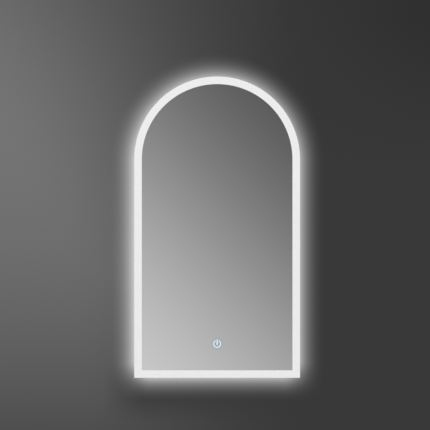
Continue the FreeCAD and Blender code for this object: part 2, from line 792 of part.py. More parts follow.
def box_base():
    body = new_body("box_base")
    outline = facing(body, "Outline", BOX_RIM)
    box_outline(outline)
    pad(body, outline, "box_depth")
    dress_edges(body, "Fillet", "box_corner", along_y)
    doc.recompute()
    block = body.Tip
    rim_faces = [f"Face{number}" for number, face in enumerate(block.Shape.Faces, start=1)
                 if near(face.BoundBox.YMin, value(BOX_RIM))]
    shell = feature_on(body, "Thickness", "Shell")
    shell.Base = (block, rim_faces)
    shell.Reversed = True
    shell.setExpression("Value", bound("box_wall"))
    sensor_exit = new_sketch(body, "SensorExit", "XY_Plane", level=BOX_BOTTOM)
    square(sensor_exit, "0", SENSOR_LEAD_LEVEL, EXIT_SIDE)
    pocket(body, sensor_exit, "2 * box_wall", forward=True, name="SensorExitHole")
    demister_exit = new_sketch(body, "DemisterExit", "XY_Plane", level=BOX_TOP)
    square(demister_exit, terminal_x(2), TERMINAL_MIDDLE, EXIT_SIDE)
    pocket(body, demister_exit, "2 * box_wall", name="DemisterExitHole")
    led_exit = new_sketch(body, "LedExit", "YZ_Plane", level="-box_width / 2")
    square(led_exit, DRIVER_LEAD_LEVEL, DRIVER_MIDDLE, EXIT_SIDE)
    pocket(body, led_exit, "2 * box_wall", forward=True, name="LedExitHole")
    earth_exit = new_sketch(body, "EarthExit", "YZ_Plane", level="box_width / 2")
    square(earth_exit, DRIVER_LEAD_LEVEL, DRIVER_MIDDLE, EXIT_SIDE)
    pocket(body, earth_exit, "2 * box_wall", name="EarthExitHole")


def box_cover():
    """A lid pressed on the rim. A rib inside the walls centres it, and the supply comes in through it."""
    body = new_body("box_cover")
    outline = facing(body, "Outline", COVER_REAR)
    box_outline(outline)
    pad(body, outline, "cover_thickness")
    dress_edges(body, "Fillet", "box_corner", along_y)
    dress_edges(body, "Chamfer", "cover_edge", at_level(COVER_REAR))
    rib = facing(body, "Rib", BOX_RIM)
    for edge in ("box_wall + rib_clearance", "box_wall + rib_clearance + rib_width"):
        rib_outline(rib, f"({edge})")
    pad(body, rib, "rib_depth", name="RibWall")
    inlet = facing(body, "Inlet", COVER_REAR)
    circle(inlet, INLET_X, INLET_Z, "grommet_groove_radius + grommet_clearance")
    pocket(body, inlet, "2 * cover_thickness", forward=True, name="InletHole")


def rib_outline(sketch, edge):
    """A rectangle with its corners cut, clear of the round corners of the box."""
    wide, high = f"(box_width / 2 - {edge})", f"(box_height / 2 - {edge})"
    corners = []
    for across, up in ((-1, -1), (1, -1), (1, 1), (-1, 1)):
        side_end = (f"{across} * {wide}", f"{BOX_MIDDLE} + {up} * ({high} - box_corner)")
        level_end = (f"{across} * ({wide} - box_corner)", f"{BOX_MIDDLE} + {up} * {high}")
        corners += [side_end, level_end] if across == up else [level_end, side_end]
    polygon(sketch, corners)


def supply_grommet():
    """A grooved rubber ring in the lid, for the supply cable that comes out of the wall."""
    body = new_body("supply_grommet")
    sketch = new_sketch(body, "Section", "XY_Plane", INLET_X, COVER_REAR, INLET_Z)
    bore, groove, flange = "grommet_bore_radius", "grommet_groove_radius", "grommet_flange_radius"
    inside, outside = "(-cover_thickness - grommet_clearance)", "grommet_clearance"
    polygon(sketch, [
        (bore, f"{inside} - grommet_flange_thickness"), (flange, f"{inside} - grommet_flange_thickness"),
        (flange, inside), (groove, inside), (groove, outside), (flange, outside),
        (flange, f"{outside} + grommet_flange_thickness"), (bore, f"{outside} + grommet_flange_thickness"),
    ])
    revolve(body, sketch, "V_Axis")


def terminal_block():
    """A row of poles, each with a well for its clamp and an entry for a lead above and below."""
    body = new_body("terminal_block")
    sketch = facing(body, "Outline", TERMINAL_REAR)
    half = "(terminal_count * terminal_pitch / 2)"
    rectangle(sketch, f"{TERMINAL_X} - {half}", f"{TERMINAL_X} + {half}", TERMINAL_BOTTOM, TERMINAL_TOP)
    pad(body, sketch, "terminal_depth")
    well = facing(body, "Well", TERMINAL_REAR)
    square(well, terminal_x(0), f"({TERMINAL_TOP} + {TERMINAL_BOTTOM}) / 2", "terminal_well_side")
    cuts = [pocket(body, well, "terminal_well_depth", forward=True, name="WellCut")]
    for name, level, forward in (("Lower", TERMINAL_BOTTOM, True), ("Upper", TERMINAL_TOP, False)):
        entry = new_sketch(body, f"{name}Entry", "XY_Plane", level=level)
        square(entry, terminal_x(0), TERMINAL_MIDDLE, "terminal_entry_side")
        cuts.append(pocket(body, entry, "terminal_entry_depth", forward=forward, name=f"{name}EntryCut"))
    repeat(body, cuts, "X_Axis", "terminal_pitch", "terminal_count")


def terminal_clamps():
    """Brass clamps at the bottom of the wells."""
    body = new_body("terminal_clamps")
    sketch = facing(body, "Clamp", f"({TERMINAL_REAR} - terminal_well_depth + terminal_clamp_height)")
    square(sketch, terminal_x(0), f"({TERMINAL_TOP} + {TERMINAL_BOTTOM}) / 2", "terminal_clamp_side")
    clamp = pad(body, sketch, "terminal_clamp_height")
    repeat(body, [clamp], "X_Axis", "terminal_pitch", "terminal_count")


def led_driver():
    body = new_body("led_driver")
    sketch = facing(body, "Outline", f"({BOX_FLOOR} + driver_depth)")
    rectangle(sketch, DRIVER_LEFT, DRIVER_RIGHT, DRIVER_BOTTOM, f"{DRIVER_BOTTOM} + driver_height")
    pad(body, sketch, "driver_depth")
    dress_edges(body, "Fillet", "driver_corner", along_y)


# Leads

def lead_run(name, routes, radius):
    """Leads whose straight runs are joined by arcs. Their round section has few sides, to stay light."""
    tubes = []
    for route in routes:
        corners = [point(*place_of) for place_of in route]
        edges = []
        here = corners[0]
        for before, corner, after in zip(corners, corners[1:], corners[2:]):
            inwards, outwards = corner - before, after - corner
            turn = inwards.getAngle(outwards)
            setback = min(value("lead_bend") * math.tan(turn / 2), 0.45 * min(inwards.Length, outwards.Length))
            enter = corner - inwards.normalize() * setback
            leave = corner + outwards.normalize() * setback
            bisector = (leave + enter) * 0.5 - corner
            bend = setback / math.tan(turn / 2)
            centre = corner + bisector.normalize() * math.hypot(bend, setback)
            top = centre + (corner - centre).normalize() * bend
            edges.append(Part.LineSegment(here, enter).toShape())
            edges.append(Part.Arc(enter, top, leave).toShape())
            here = leave
        edges.append(Part.LineSegment(here, corners[-1]).toShape())
        spine = Part.Wire(edges)
        section = lead_section(corners[0], corners[1] - corners[0], value(radius))
        tube = spine.makePipeShell([section], True, False)
        expected = Part.Face(section).Area * spine.Length
        assert abs(tube.Volume / expected - 1) < 1e-3, f"{name} has lost its section"
        tubes.append(tube)
    lead = doc.addObject("Part::Feature", name)
    lead.Label = name
    lead.Shape = tubes[0] if len(tubes) == 1 else Part.makeCompound(tubes)
    lead.Placement = FreeCAD.Placement()
    sub_parts.append(lead)


def lead_section(centre, along, radius):
    """A regular outline about the lead's axis, inside the circle of its radius."""
    turned = FreeCAD.Rotation(NORMAL, along)
    angles = [2 * math.pi * (step + 0.5) / LEAD_SIDES for step in range(LEAD_SIDES)]
    ring = [centre + turned.multVec(FreeCAD.Vector(math.cos(angle), math.sin(angle), 0)) * radius
            for angle in angles]
    return Part.makePolygon(ring + ring[:1])


def led_lead():
    """From the power unit to the back of the strip on the left leg, through the chassis."""
    lead_run("led_lead", [[
        (DRIVER_LEFT, DRIVER_LEAD_LEVEL, DRIVER_MIDDLE),
        ("-box_width / 2 - 12", DRIVER_LEAD_LEVEL, DRIVER_MIDDLE),
        (f"14 - {CLIP_X}", LEAD_ON_PANE, DRIVER_MIDDLE),
        (f"-14 - {CLIP_X}", LEAD_ON_PANE, DRIVER_MIDDLE),
        (f"-{CHASSIS_INNER_X} + 14", BED_MIDDLE, DRIVER_MIDDLE),
        (f"-{HALF_WIDTH} + {STRIP_BACK}", BED_MIDDLE, DRIVER_MIDDLE),
    ]], "lead_radius")


def earth_lead():
    """From the last pole of the terminal block to the ring tag on the right leg."""
    barrel = f"({CHASSIS_INNER_X} - tag_thickness - barrel_side / 2)"
    lead_run("earth_lead", [[
        (terminal_x(3), TERMINAL_MIDDLE, f"{TERMINAL_TOP} - lead_insertion"),
        (terminal_x(3), DRIVER_LEAD_LEVEL, DRIVER_MIDDLE),
        ("box_width / 2 + 12", DRIVER_LEAD_LEVEL, DRIVER_MIDDLE),
        (f"{CLIP_X} - 14", LEAD_ON_PANE, DRIVER_MIDDLE),
        (f"{CLIP_X} + 14", LEAD_ON_PANE, DRIVER_MIDDLE),
        (barrel, BED_MIDDLE, DRIVER_MIDDLE),
        (barrel, BED_MIDDLE, f"{DRIVER_MIDDLE} - earth_drop + tag_radius + tag_neck"),
    ]], "core_radius")


def sensor_lead():
    """From the power unit down to the touch switch."""
    lead_run("sensor_lead", [[
        ("0", SENSOR_LEAD_LEVEL, DRIVER_BOTTOM),
        ("0", SENSOR_LEAD_LEVEL, f"{SENSOR_TOP} - sensor_wall - 6"),
    ]], "lead_radius")


def demister_lead():
    """From the heating film's tab into the box and down to its pole."""
    tab_bottom = f"({DEMISTER_BOTTOM} + 2)"
    middle = terminal_x(2)
    level = f"({BACKING_BACK} + demister_thickness + lead_radius + 0.2)"
    lead_run("demister_lead", [[
        (middle, level, tab_bottom),
        (middle, level, f"{tab_bottom} - 8"),
        (middle, TERMINAL_MIDDLE, f"{BOX_TOP} + 6"),
        (middle, TERMINAL_MIDDLE, f"{TERMINAL_TOP} - lead_insertion"),
    ]], "lead_radius")


def mains_leads():
    """Live and neutral cores from the first two poles to the power unit."""
    for pole, name in enumerate(("live_lead", "neutral_lead")):
        level = f"({DRIVER_MIDDLE} + ({pole} - 1) * core_pitch)"
        lead_run(name, [[
            (DRIVER_RIGHT, TERMINAL_MIDDLE, level),
            (terminal_x(pole), TERMINAL_MIDDLE, level),
            (terminal_x(pole), TERMINAL_MIDDLE, f"{TERMINAL_TOP} - lead_insertion"),
        ]], "core_radius")


def strip_link_leads():
    """Jumpers that loop round the outside of each bottom corner from strip to strip."""
    near_strip = f"({STRIP_FACE} - core_radius - 0.1)"
    routes = []
    for side in SIDES:
        insets = [
            (near_strip, "(chassis_inset + strip_end_gap + 12)"),
            ("(chassis_inset - 5)", "(chassis_inset - 5)"),
            ("(chassis_inset + strip_end_gap + 12)", near_strip),
        ]
        routes.append([(f"{side} * ({HALF_WIDTH} - {across})", f"{BED_MIDDLE} + 4", f"{FOOT} + {up}")
                       for across, up in insets])
    lead_run("strip_link_leads", routes, "core_radius")


def lead_clips():
    """Adhesive saddles over the leads, one each side of the box."""
    body = new_body("lead_clips")
    section = new_sketch(body, "Section", "YZ_Plane", level=CLIP_X)
    inner, foot = "(lead_radius + clip_clearance)", "(clip_base_width / 2)"
    outer = f"({inner} + clip_wall)"
    base, top = f"({BACKING_BACK} + clip_wall)", f"({LEAD_ON_PANE} + {outer})"
    polygon(section, [
        (BACKING_BACK, f"{DRIVER_MIDDLE} - {foot}"), (BACKING_BACK, f"{DRIVER_MIDDLE} + {foot}"),
        (base, f"{DRIVER_MIDDLE} + {foot}"), (base, f"{DRIVER_MIDDLE} + {outer}"),
        (f"{top} - clip_wall", f"{DRIVER_MIDDLE} + {outer}"), (top, f"{DRIVER_MIDDLE} + {inner}"),
        (top, f"{DRIVER_MIDDLE} - {inner}"), (f"{top} - clip_wall", f"{DRIVER_MIDDLE} - {outer}"),
        (base, f"{DRIVER_MIDDLE} - {outer}"), (base, f"{DRIVER_MIDDLE} - {foot}"),
    ])
    square(section, LEAD_ON_PANE, DRIVER_MIDDLE, f"2 * {inner}")
    saddle = pad(body, section, "clip_length", symmetric=True)
    mirror(body, [saddle])


def earth_tag():
    """A ring tag: flat ring under the screw, neck, and the barrel crimped on the lead's end."""
    body = new_body("earth_tag")
    level = f"({DRIVER_MIDDLE} - earth_drop)"
    plate = f"({CHASSIS_INNER_X} - tag_thickness)"
    ring = new_sketch(body, "Ring", "YZ_Plane", level=plate)
    circle(ring, BED_MIDDLE, level, "tag_radius")
    circle(ring, BED_MIDDLE, level, SCREW_HOLE)
    pad(body, ring, "tag_thickness", name="Ring")
    neck = new_sketch(body, "Neck", "YZ_Plane", level=plate)
    rectangle(neck, f"{BED_MIDDLE} - barrel_side / 2", f"{BED_MIDDLE} + barrel_side / 2",
              f"{level} + 0.8 * tag_radius", f"{level} + tag_radius + tag_neck")
    pad(body, neck, "tag_thickness", name="Neck")
    barrel = new_sketch(body, "Barrel", "XY_Plane", level=f"{level} + tag_radius + tag_neck / 3")
    square(barrel, f"{plate} - barrel_side / 2", BED_MIDDLE, "barrel_side")
    pad(body, barrel, "2 * tag_neck / 3", name="Barrel")


def earth_screw():
    body = new_body("earth_screw")
    screw(body, "Screw", "XY_Plane", "H_Axis",
          (f"{CHASSIS_INNER_X} - tag_thickness", BED_MIDDLE, f"{DRIVER_MIDDLE} - earth_drop"), 1)


# Touch switch

def sensor_gasket():
    """A frame of foam tape between the pane and the switch."""
    body = new_body("sensor_gasket")
    sketch = facing(body, "Frame", SENSOR_FRONT)
    square(sketch, "0", ICON_LEVEL, "sensor_side")
    square(sketch, "0", ICON_LEVEL, "sensor_side - 2 * gasket_width")
    pad(body, sketch, "tape_thickness")


def sensor_housing():
    """A square cup, open to the pane, with a notch for the lead."""
    body = new_body("sensor_housing")
    sketch = facing(body, "Cup", SENSOR_REAR)
    square(sketch, "0", ICON_LEVEL, "sensor_side")
    pad(body, sketch, "sensor_depth")
    dress_edges(body, "Fillet", "sensor_corner", along_y)
    hollow = facing(body, "Hollow", SENSOR_FRONT)
    square(hollow, "0", ICON_LEVEL, "sensor_side - 2 * sensor_wall")
    pocket(body, hollow, "sensor_depth - sensor_wall", name="HollowCut")
    entry = new_sketch(body, "LeadEntry", "XY_Plane", level=SENSOR_TOP)
    square(entry, "0", SENSOR_LEAD_LEVEL, EXIT_SIDE)
    pocket(body, entry, "2 * sensor_wall", name="LeadEntryCut")


def sensor_board():
    body = new_body("sensor_board")
    sketch = facing(body, "Board", BOARD_REAR)
    square(sketch, "0", ICON_LEVEL, "sensor_side - 2 * (sensor_wall + board_clearance)")
    pad(body, sketch, "board_thickness")


def sensor_led():
    body = new_body("sensor_led")
    sketch = facing(body, "Led", BOARD_FRONT)
    square(sketch, "0", ICON_LEVEL, "led_side")
    pad(body, sketch, "led_height")


def icon_light_guide():
    """A clear disc that spreads the indicator's light over the symbol."""
    body = new_body("icon_light_guide")
    rear = f"({BOARD_FRONT} - 0.1)"
    sketch = facing(body, "Disc", rear)
    circle(sketch, "0", ICON_LEVEL, "light_guide_radius")
    pad(body, sketch, "light_guide_depth - 0.1")
    recess = facing(body, "Recess", rear)
    square(recess, "0", ICON_LEVEL, "led_side + 2 * led_clearance")
    pocket(body, recess, "led_height + led_clearance", forward=True)


mirror_glass()
silvered_backing()
mounting_tape()
chassis_arch()
chassis_bottom()
corner_keys()
led_strips()
led_chips()
diffusers()
hanging_rail()
rail_screws()
wall_bumpers()
demister_pad()
demister_lead()
box_pads()
box_base()
box_cover()
supply_grommet()
terminal_block()
terminal_clamps()
led_driver()
mains_leads()
led_lead()
strip_link_leads()
sensor_lead()
earth_lead()
earth_tag()
earth_screw()
lead_clips()
sensor_gasket()
sensor_housing()
sensor_board()
sensor_led()
icon_light_guide()
doc.recompute()

for item in doc.Objects:
    assert not {"Invalid", "Error"} & set(item.State), f"{item.Name} did not rebuild"
    if item.TypeId == "PartDesign::Pocket":
        assert item.Shape.Volume < item.BaseFeature.Shape.Volume - 1e-3, f"{item.Name} cuts nothing"
for part in sub_parts:
    assert not part.Shape.isNull() and part.Shape.isValid(), f"{part.Label} is not a valid solid"

os.makedirs("parts", exist_ok=True)
for part in sub_parts:
    part.Shape.exportStep(f"parts/{part.Label}.step")
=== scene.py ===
"""The look of the lighted bathroom mirror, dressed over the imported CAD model.

Metres, in the model's own frame: +Z up, +X to the viewer's right, -Y to the viewer, the wall at y = 0.
"Inset" is measured inwards from the pane's edge, and "tone" is a display level from 0 to 255.
"""
import json
import math

import bmesh
import bpy
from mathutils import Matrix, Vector

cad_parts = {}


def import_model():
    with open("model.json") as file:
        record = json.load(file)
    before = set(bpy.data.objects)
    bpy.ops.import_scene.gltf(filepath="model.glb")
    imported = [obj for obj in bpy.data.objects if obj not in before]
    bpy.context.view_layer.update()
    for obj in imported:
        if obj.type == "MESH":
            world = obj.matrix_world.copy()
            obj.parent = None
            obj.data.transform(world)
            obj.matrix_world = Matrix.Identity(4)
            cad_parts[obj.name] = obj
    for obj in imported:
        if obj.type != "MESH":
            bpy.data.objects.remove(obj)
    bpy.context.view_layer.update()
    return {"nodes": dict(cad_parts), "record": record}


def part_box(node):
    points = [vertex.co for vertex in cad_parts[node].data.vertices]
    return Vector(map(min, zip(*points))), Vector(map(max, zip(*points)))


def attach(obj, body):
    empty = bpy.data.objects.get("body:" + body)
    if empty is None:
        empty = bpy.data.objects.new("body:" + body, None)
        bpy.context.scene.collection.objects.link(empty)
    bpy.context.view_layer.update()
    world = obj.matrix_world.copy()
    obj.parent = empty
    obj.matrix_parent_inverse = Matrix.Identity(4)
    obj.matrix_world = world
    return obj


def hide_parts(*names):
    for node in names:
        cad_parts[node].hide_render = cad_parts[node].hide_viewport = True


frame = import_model()

SLOTS = {part["node"]: part["material_slot"] for part in frame["record"]["subparts"]}

# Places read from the frame
PANE_LOW, PANE_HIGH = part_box("mirror_glass")
BOX_LOW, BOX_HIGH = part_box("box_cover")
HALF_WIDTH = PANE_HIGH.x
FOOT = PANE_LOW.z
CROWN = PANE_HIGH.z
ARCH_CENTRE = CROWN - HALF_WIDTH
PANE_FRONT = PANE_LOW.y
PANE_BACK = PANE_HIGH.y
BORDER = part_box("silvered_backing")[0].x - PANE_LOW.x

# Camera: the width that it sees at the pane, its lens and sensor in millimetres, and where it faces
PICTURE_WIDTH = 1.427
LENS = 85
SENSOR = 36
CAMERA_X = -0.0071
CAMERA_Z = -0.1596

# Pane
ARRIS = 0.0006
ARC_STEPS = 128
SILVER = 0.92

# Touch symbol
SYMBOL_RADIUS = 0.0116
SYMBOL_STROKE = 0.0029
SYMBOL_GAP = math.radians(33)
SYMBOL_BAR_TOP = 0.0144
SYMBOL_BAR_FOOT = -0.0012
SYMBOL_BAR_TOP_WIDTH = 0.0025
SYMBOL_BAR_FOOT_WIDTH = 0.0042
SYMBOL_PROUD = 0.00015
SYMBOL_STEPS = 64
CAP_STEPS = 10
# Painted glow of the symbol's blue light on the silver: full within the first distance, gone past the
# second
SYMBOL_PAINTED_GLOW_FULL = SYMBOL_RADIUS * 0.7
SYMBOL_PAINTED_GLOW_REACH = 0.026

# Radii on the edges of drawn and moulded parts
EDGE_RADII = {
    "chassis_arch": 0.00025,
    "chassis_bottom": 0.00025,
    "diffuser_arch": 0.0003,
    "diffuser_bottom": 0.0003,
    "box_cover": 0.0005,
    "box_base": 0.0004,
    "sensor_housing": 0.0006,
    "lead_clips": 0.0002,
}
BEND_STEPS = 3

# Meshes: faces that turn less than the first angle are one flat, faces that turn less than the second
# are shaded as one, and edges that turn more than the third get a radius if they aren't too short
FLAT_ANGLE = math.radians(1)
SMOOTH_ANGLE = math.radians(32)
SHARP_ANGLE = math.radians(50)
SHORTEST_EDGE = 1e-5
WELD = 1e-6

# Wall bumpers
BUMPER_SIDE = 0.014
BUMPER_RISE = 0.240
BUMPER_RADIUS = 0.0004

# Heater's printed track
HEATER_PITCH = 0.010
HEATER_TRACK = 0.0035
HEATER_MARGIN = 0.010

# Leads: each one's radius and the points of its route
LEAD_RADIUS = 0.0015
CORE_RADIUS = 0.0011
LEAD_ROUND_STEPS = 5
LEAD_LINE_STEPS = 8
LEADS = {
    "led_lead": (LEAD_RADIUS, [
        (-0.0900, -0.0187, -0.4500),
        (-0.1220, -0.0187, -0.4500),
        (-0.1520, -0.0269, -0.4500),
        (-0.1800, -0.0269, -0.4500),
        (-0.2080, -0.0160, -0.4500),
        (-0.2421, -0.0160, -0.4500),
    ]),
    "earth_lead": (CORE_RADIUS, [
        (0.0850, -0.0202, -0.4870),
        (0.0850, -0.0187, -0.4500),
        (0.1220, -0.0187, -0.4500),
        (0.1520, -0.0269, -0.4500),
        (0.1800, -0.0269, -0.4500),
        (0.2194, -0.0160, -0.4500),
        (0.2194, -0.0160, -0.4725),
    ]),
    "sensor_lead": (LEAD_RADIUS, [
        (0, -0.01835, -0.4680),
        (0, -0.01835, -0.5208),
        (0, -0.01835, -0.5736),
    ]),
    "demister_lead": (LEAD_RADIUS, [
        (0.0750, -0.0275, -0.3930),
        (0.0750, -0.0275, -0.4010),
        (0.0750, -0.0202, -0.4190),
        (0.0750, -0.0202, -0.4870),
    ]),
    "live_lead": (CORE_RADIUS, [
        (0.0300, -0.0202, -0.4550),
        (0.0550, -0.0202, -0.4550),
        (0.0550, -0.0202, -0.4870),
    ]),
    "neutral_lead": (CORE_RADIUS, [
        (0.0300, -0.0202, -0.4500),
        (0.0650, -0.0202, -0.4500),
        (0.0650, -0.0202, -0.4870),
    ]),
}

# Jumper between the LED strips at the right-hand corner. The left one mirrors it.
LINK_ROUTE = [(0.2437, -0.0120, -0.6450), (0.2470, -0.0120, -0.6720), (0.2200, -0.0120, -0.6687)]

# Screws
SCREW_SLOT = "zinc_steel"
LATHE_STEPS = 48

# Screws in the rail: how far the head is sunk, how deep its cone ends, and the shank's share of its radius
RAIL_SCREW_SUNK = 0.00005
COUNTERSINK_DEPTH = 0.0014
SHANK_SHARE = 0.54
RAIL_RECESS_DEPTH = 0.0009

# Screws in the lid: pan heads, with a profile in shares of their radius and their height
SCREW_INSET = 0.008
PAN_RADIUS = 0.0032
PAN_HEIGHT = 0.0016
PAN_PROFILE = [(0, 1), (0.55, 0.93), (0.88, 0.6), (1, 0.2), (1, 0), (0, 0)]
LID_RECESS_DEPTH = 0.0008

# Cross recess: length and width in shares of the head's radius, the inner end as a share of the outer
# one, how far its cutter stands out of the head, and the turn of the first screw and of each next one
RECESS_LENGTH = 1.25
RECESS_WIDTH = 0.32
RECESS_TAPER = 0.55
RECESS_CLEAR = 0.0002
FIRST_TURN = 0.4
NEXT_TURN = 0.7

# Lit side of the wall: its lightest tone, at one height, and what it loses at one reach above or below
LIT_TONE = 116.0
LIT_HEIGHT = 0.1925
LIT_LOSS = 36.0
LIT_REACH = 1.053
LIT_LEAST = 60.0

# Dark side of the wall: its tone, what painted shade takes off it, and over which heights and widths
DARK_TONE = 57.0
DARK_LOSS = 9.0
DARK_RISE = (0.0, 0.5)
DARK_ACROSS = (0.1, 0.7)

# Between the sides: where the light starts to fall off high up, how far that moves to the right
# over these heights going down, and where the dark side begins
FALL_STARTS = -0.996
FALL_SHIFT = 0.5026
FALL_LEAN = (0.5614, -0.3386)
FALL_ENDS = 0.345

# Shade on the wall below the mirror: how deep, and where it comes and goes
SHADE_DEPTH = 0.72
SHADE_TOP = (FOOT + 0.04, FOOT - 0.02)
SHADE_BOTTOM = (FOOT - 0.16, FOOT - 0.08)
SHADE_SIDE = (0.38, 0.25)

# Halo: the tone that it adds to the dark wall at the outline, the wall tone at which it would add none,
# and how it fades outwards
HALO_TONE = 128.0
HALO_CEILING = 400.0
HALO_REACH = 0.090
HALO_POWER = 2.25

# Halo round the outline: less up the arch, more at the crown and foot, and only a share off the corners
HALO_ARCH_LOSS = 14.0
HALO_ARCH_RISE = (0.0, 0.1)
HALO_CROWN_GAIN = 12.0
HALO_CROWN_RISE = (0.21, 0.275)
HALO_FOOT_GAIN = 16.0
HALO_FOOT_DROP = (FOOT, FOOT - 0.01)
HALO_CORNER_SHARE = 0.40
HALO_CORNER = (-0.025, 0.055)

# Stage
FLOOR = FOOT - 0.9
FLOOR_REACH = 8
WALL = 0.0
WALL_REACH = 6
WALL_TOP = 4

# World: what the eye sees directly, what lights the object, and what gloss shows behind the mirror
BACKDROP_LEVEL = 0.80
STUDIO_LEVEL = 0.48
REAR_GLOSS_LEVEL = 0.62

# Tone in the mirror: a wave along azimuth plus elevation, in radians
MIRRORED_TONE = 138.2
MIRRORED_SWING = 70.0
MIRRORED_RATE = 4.57
MIRRORED_START = 0.023

# Lamps: place and watts of each
LAMP_SIZE = 1.6
LAMP_AIM = (0, 0, -0.2)
LAMPS = {
    "key": ((-1.6, -2.6, 1.4), 44),
    "fill": ((1.9, -2.2, 0.3), 16),
    "rear_key": ((1.4, 2.4, 1.2), 40),
    "rear_fill": ((-1.7, 2.1, 0.2), 10),
}

# Values between which most of a noise texture lies
NOISE_LOW = 0.3
NOISE_HIGH = 0.7


# Materials

class Formula:
    """Arithmetic on a node tree's sockets."""

    def __init__(self, tree):
        self.tree = tree

    def math(self, operation, *given):
        made = self.tree.nodes.new("ShaderNodeMath")
        made.operation = operation
        for socket, value in zip(made.inputs, given):
            if isinstance(value, bpy.types.NodeSocket):
                self.tree.links.new(value, socket)
            else:
                socket.default_value = value
        return made.outputs[0]

    def add(self, *given):
        return self.math("ADD", *given)

    def take(self, *given):
        return self.math("SUBTRACT", *given)

    def times(self, *given):
        return self.math("MULTIPLY", *given)

    def over(self, *given):
        return self.math("DIVIDE", *given)

    def size(self, given):
        return self.math("ABSOLUTE", given)

    def above(self, given, limit):
        """1 above the limit and 0 below it."""
        return self.math("GREATER_THAN", given, limit)

    def within(self, given, low, high):
        """A value held between two limits."""
        return self.math("MINIMUM", self.math("MAXIMUM", given, low), high)

    def share(self, given, start, end):
        """How far a value has come from start to end, from 0 to 1."""
        return self.within(self.over(self.take(given, start), self.take(end, start)), 0.0, 1.0)

    def eased(self, share):
        """A share from 0 to 1 that starts and ends gently."""
        return self.times(self.times(share, share), self.take(3.0, self.times(2.0, share)))

    def length(self, first, second):
        """Distance over two steps at right angles."""
        return self.math("SQRT", self.add(self.times(first, first), self.times(second, second)))

    def choose(self, switch, on, off):
        """One value where the switch is 1, and the other where it is 0."""
        return self.add(self.times(switch, on), self.times(self.take(1.0, switch), off))

    def light(self, tone):
        """The light that shows as a tone from 0 to 255, by the sRGB curve."""
        level = self.over(self.add(self.over(tone, 255.0), 0.055), 1.055)
        return self.math("POWER", level, 2.4)


class Shader:
    """One material's node tree, with short calls for the nodes that its surface needs."""

    def __init__(self, name, colour, roughness, metallic=0.0):
        self.material = bpy.data.materials.new(name)
        self.material.use_nodes = True
        self.tree = self.material.node_tree
        self.surface = self.tree.nodes["Principled BSDF"]
        self.colour = (*colour, 1)
        self.roughness = roughness
        self.surface.inputs["Base Color"].default_value = self.colour
        self.surface.inputs["Roughness"].default_value = roughness
        self.surface.inputs["Metallic"].default_value = metallic
        self.relief = None

    def node(self, kind, **inputs):
        """A node with its inputs set or linked. An underscore stands for a space in an input's name."""
        made = self.tree.nodes.new(kind)
        for name, given in inputs.items():
            self.feed(made.inputs[name.replace("_", " ")], given)
        return made

    def feed(self, socket, given):
        """Link an output to a socket, or set the socket to a plain value."""
        if isinstance(given, bpy.types.NodeSocket):
            self.tree.links.new(given, socket)
        else:
            socket.default_value = given

    def place(self, stretch=(1, 1, 1)):
        """The object's own coordinates, stretched along its axes."""
        where = self.node("ShaderNodeTexCoord").outputs["Object"]
        return self.node("ShaderNodeMapping", Vector=where, Scale=stretch).outputs["Vector"]

    def noise(self, scale, detail=4.0, stretch=(1, 1, 1)):
        made = self.node("ShaderNodeTexNoise", Vector=self.place(stretch), Scale=scale, Detail=detail)
        return made.outputs["Fac"]

    def cells(self, scale, output="Color"):
        return self.node("ShaderNodeTexVoronoi", Vector=self.place(), Scale=scale).outputs[output]

    def ranged(self, given, low, high):
        """A noise's values, stretched to run from low to high."""
        made = self.node("ShaderNodeMapRange", Value=given, To_Min=low, To_Max=high)
        made.inputs["From Min"].default_value = NOISE_LOW
        made.inputs["From Max"].default_value = NOISE_HIGH
        return made.outputs["Result"]

    def between(self, factor, first, second):
        made = self.tree.nodes.new("ShaderNodeMix")
        made.data_type = "RGBA"
        self.feed(made.inputs["Factor"], factor)
        self.feed(made.inputs["A"], first)
        self.feed(made.inputs["B"], second)
        return made.outputs["Result"]

    def vary_colour(self, given, darker, lighter):
        """Let the colour drift between two shades of itself."""
        shades = [(*(min(1.0, part * shade) for part in self.colour[:3]), 1) for shade in (darker, lighter)]
        self.feed(self.surface.inputs["Base Color"], self.between(self.ranged(given, 0, 1), *shades))

    def vary_roughness(self, given, spread):
        low, high = max(0.0, self.roughness - spread), min(1.0, self.roughness + spread)
        self.feed(self.surface.inputs["Roughness"], self.ranged(given, low, high))

    def bump(self, given, depth):
        """Relief of a depth in metres, on top of any relief before it."""
        made = self.node("ShaderNodeBump", Height=given, Distance=depth)
        if self.relief:
            self.feed(made.inputs["Normal"], self.relief)
        self.relief = made.outputs["Normal"]
        self.feed(self.surface.inputs["Normal"], self.relief)

    def glow(self, colour, strength):
        self.surface.inputs["Emission Color"].default_value = (*colour, 1)
        self.surface.inputs["Emission Strength"].default_value = strength

    def set(self, **inputs):
        for name, given in inputs.items():
            self.surface.inputs[name.replace("_", " ")].default_value = given


def silvered_mirror():
    """Silver, with a painted glow of the symbol's faint blue light round it."""
    look = Shader("silvered_mirror", (SILVER, SILVER, SILVER), 0.012, 1.0)
    low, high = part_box("icon_light_guide")
    middle = (low + high) / 2
    apart = look.node("ShaderNodeVectorMath", Vector=look.place())
    apart.operation = "DISTANCE"
    apart.inputs[1].default_value = (middle.x, PANE_FRONT, middle.z)
    painted_glow = look.node("ShaderNodeMapRange", Value=apart.outputs["Value"])
    painted_glow.interpolation_type = "SMOOTHSTEP"
    painted_glow.inputs["From Min"].default_value = SYMBOL_PAINTED_GLOW_REACH
    painted_glow.inputs["From Max"].default_value = SYMBOL_PAINTED_GLOW_FULL
    duller, brighter = [(level, level, level, 1) for level in (SILVER - 0.002, SILVER + 0.002)]
    silver = look.between(look.ranged(look.noise(3.0, 1.0), 0, 1), duller, brighter)
    silver_with_painted_glow = look.between(painted_glow.outputs["Result"], silver, (0.735, 0.870, 0.965, 1))
    look.feed(look.surface.inputs["Base Color"], silver_with_painted_glow)
    return look.material


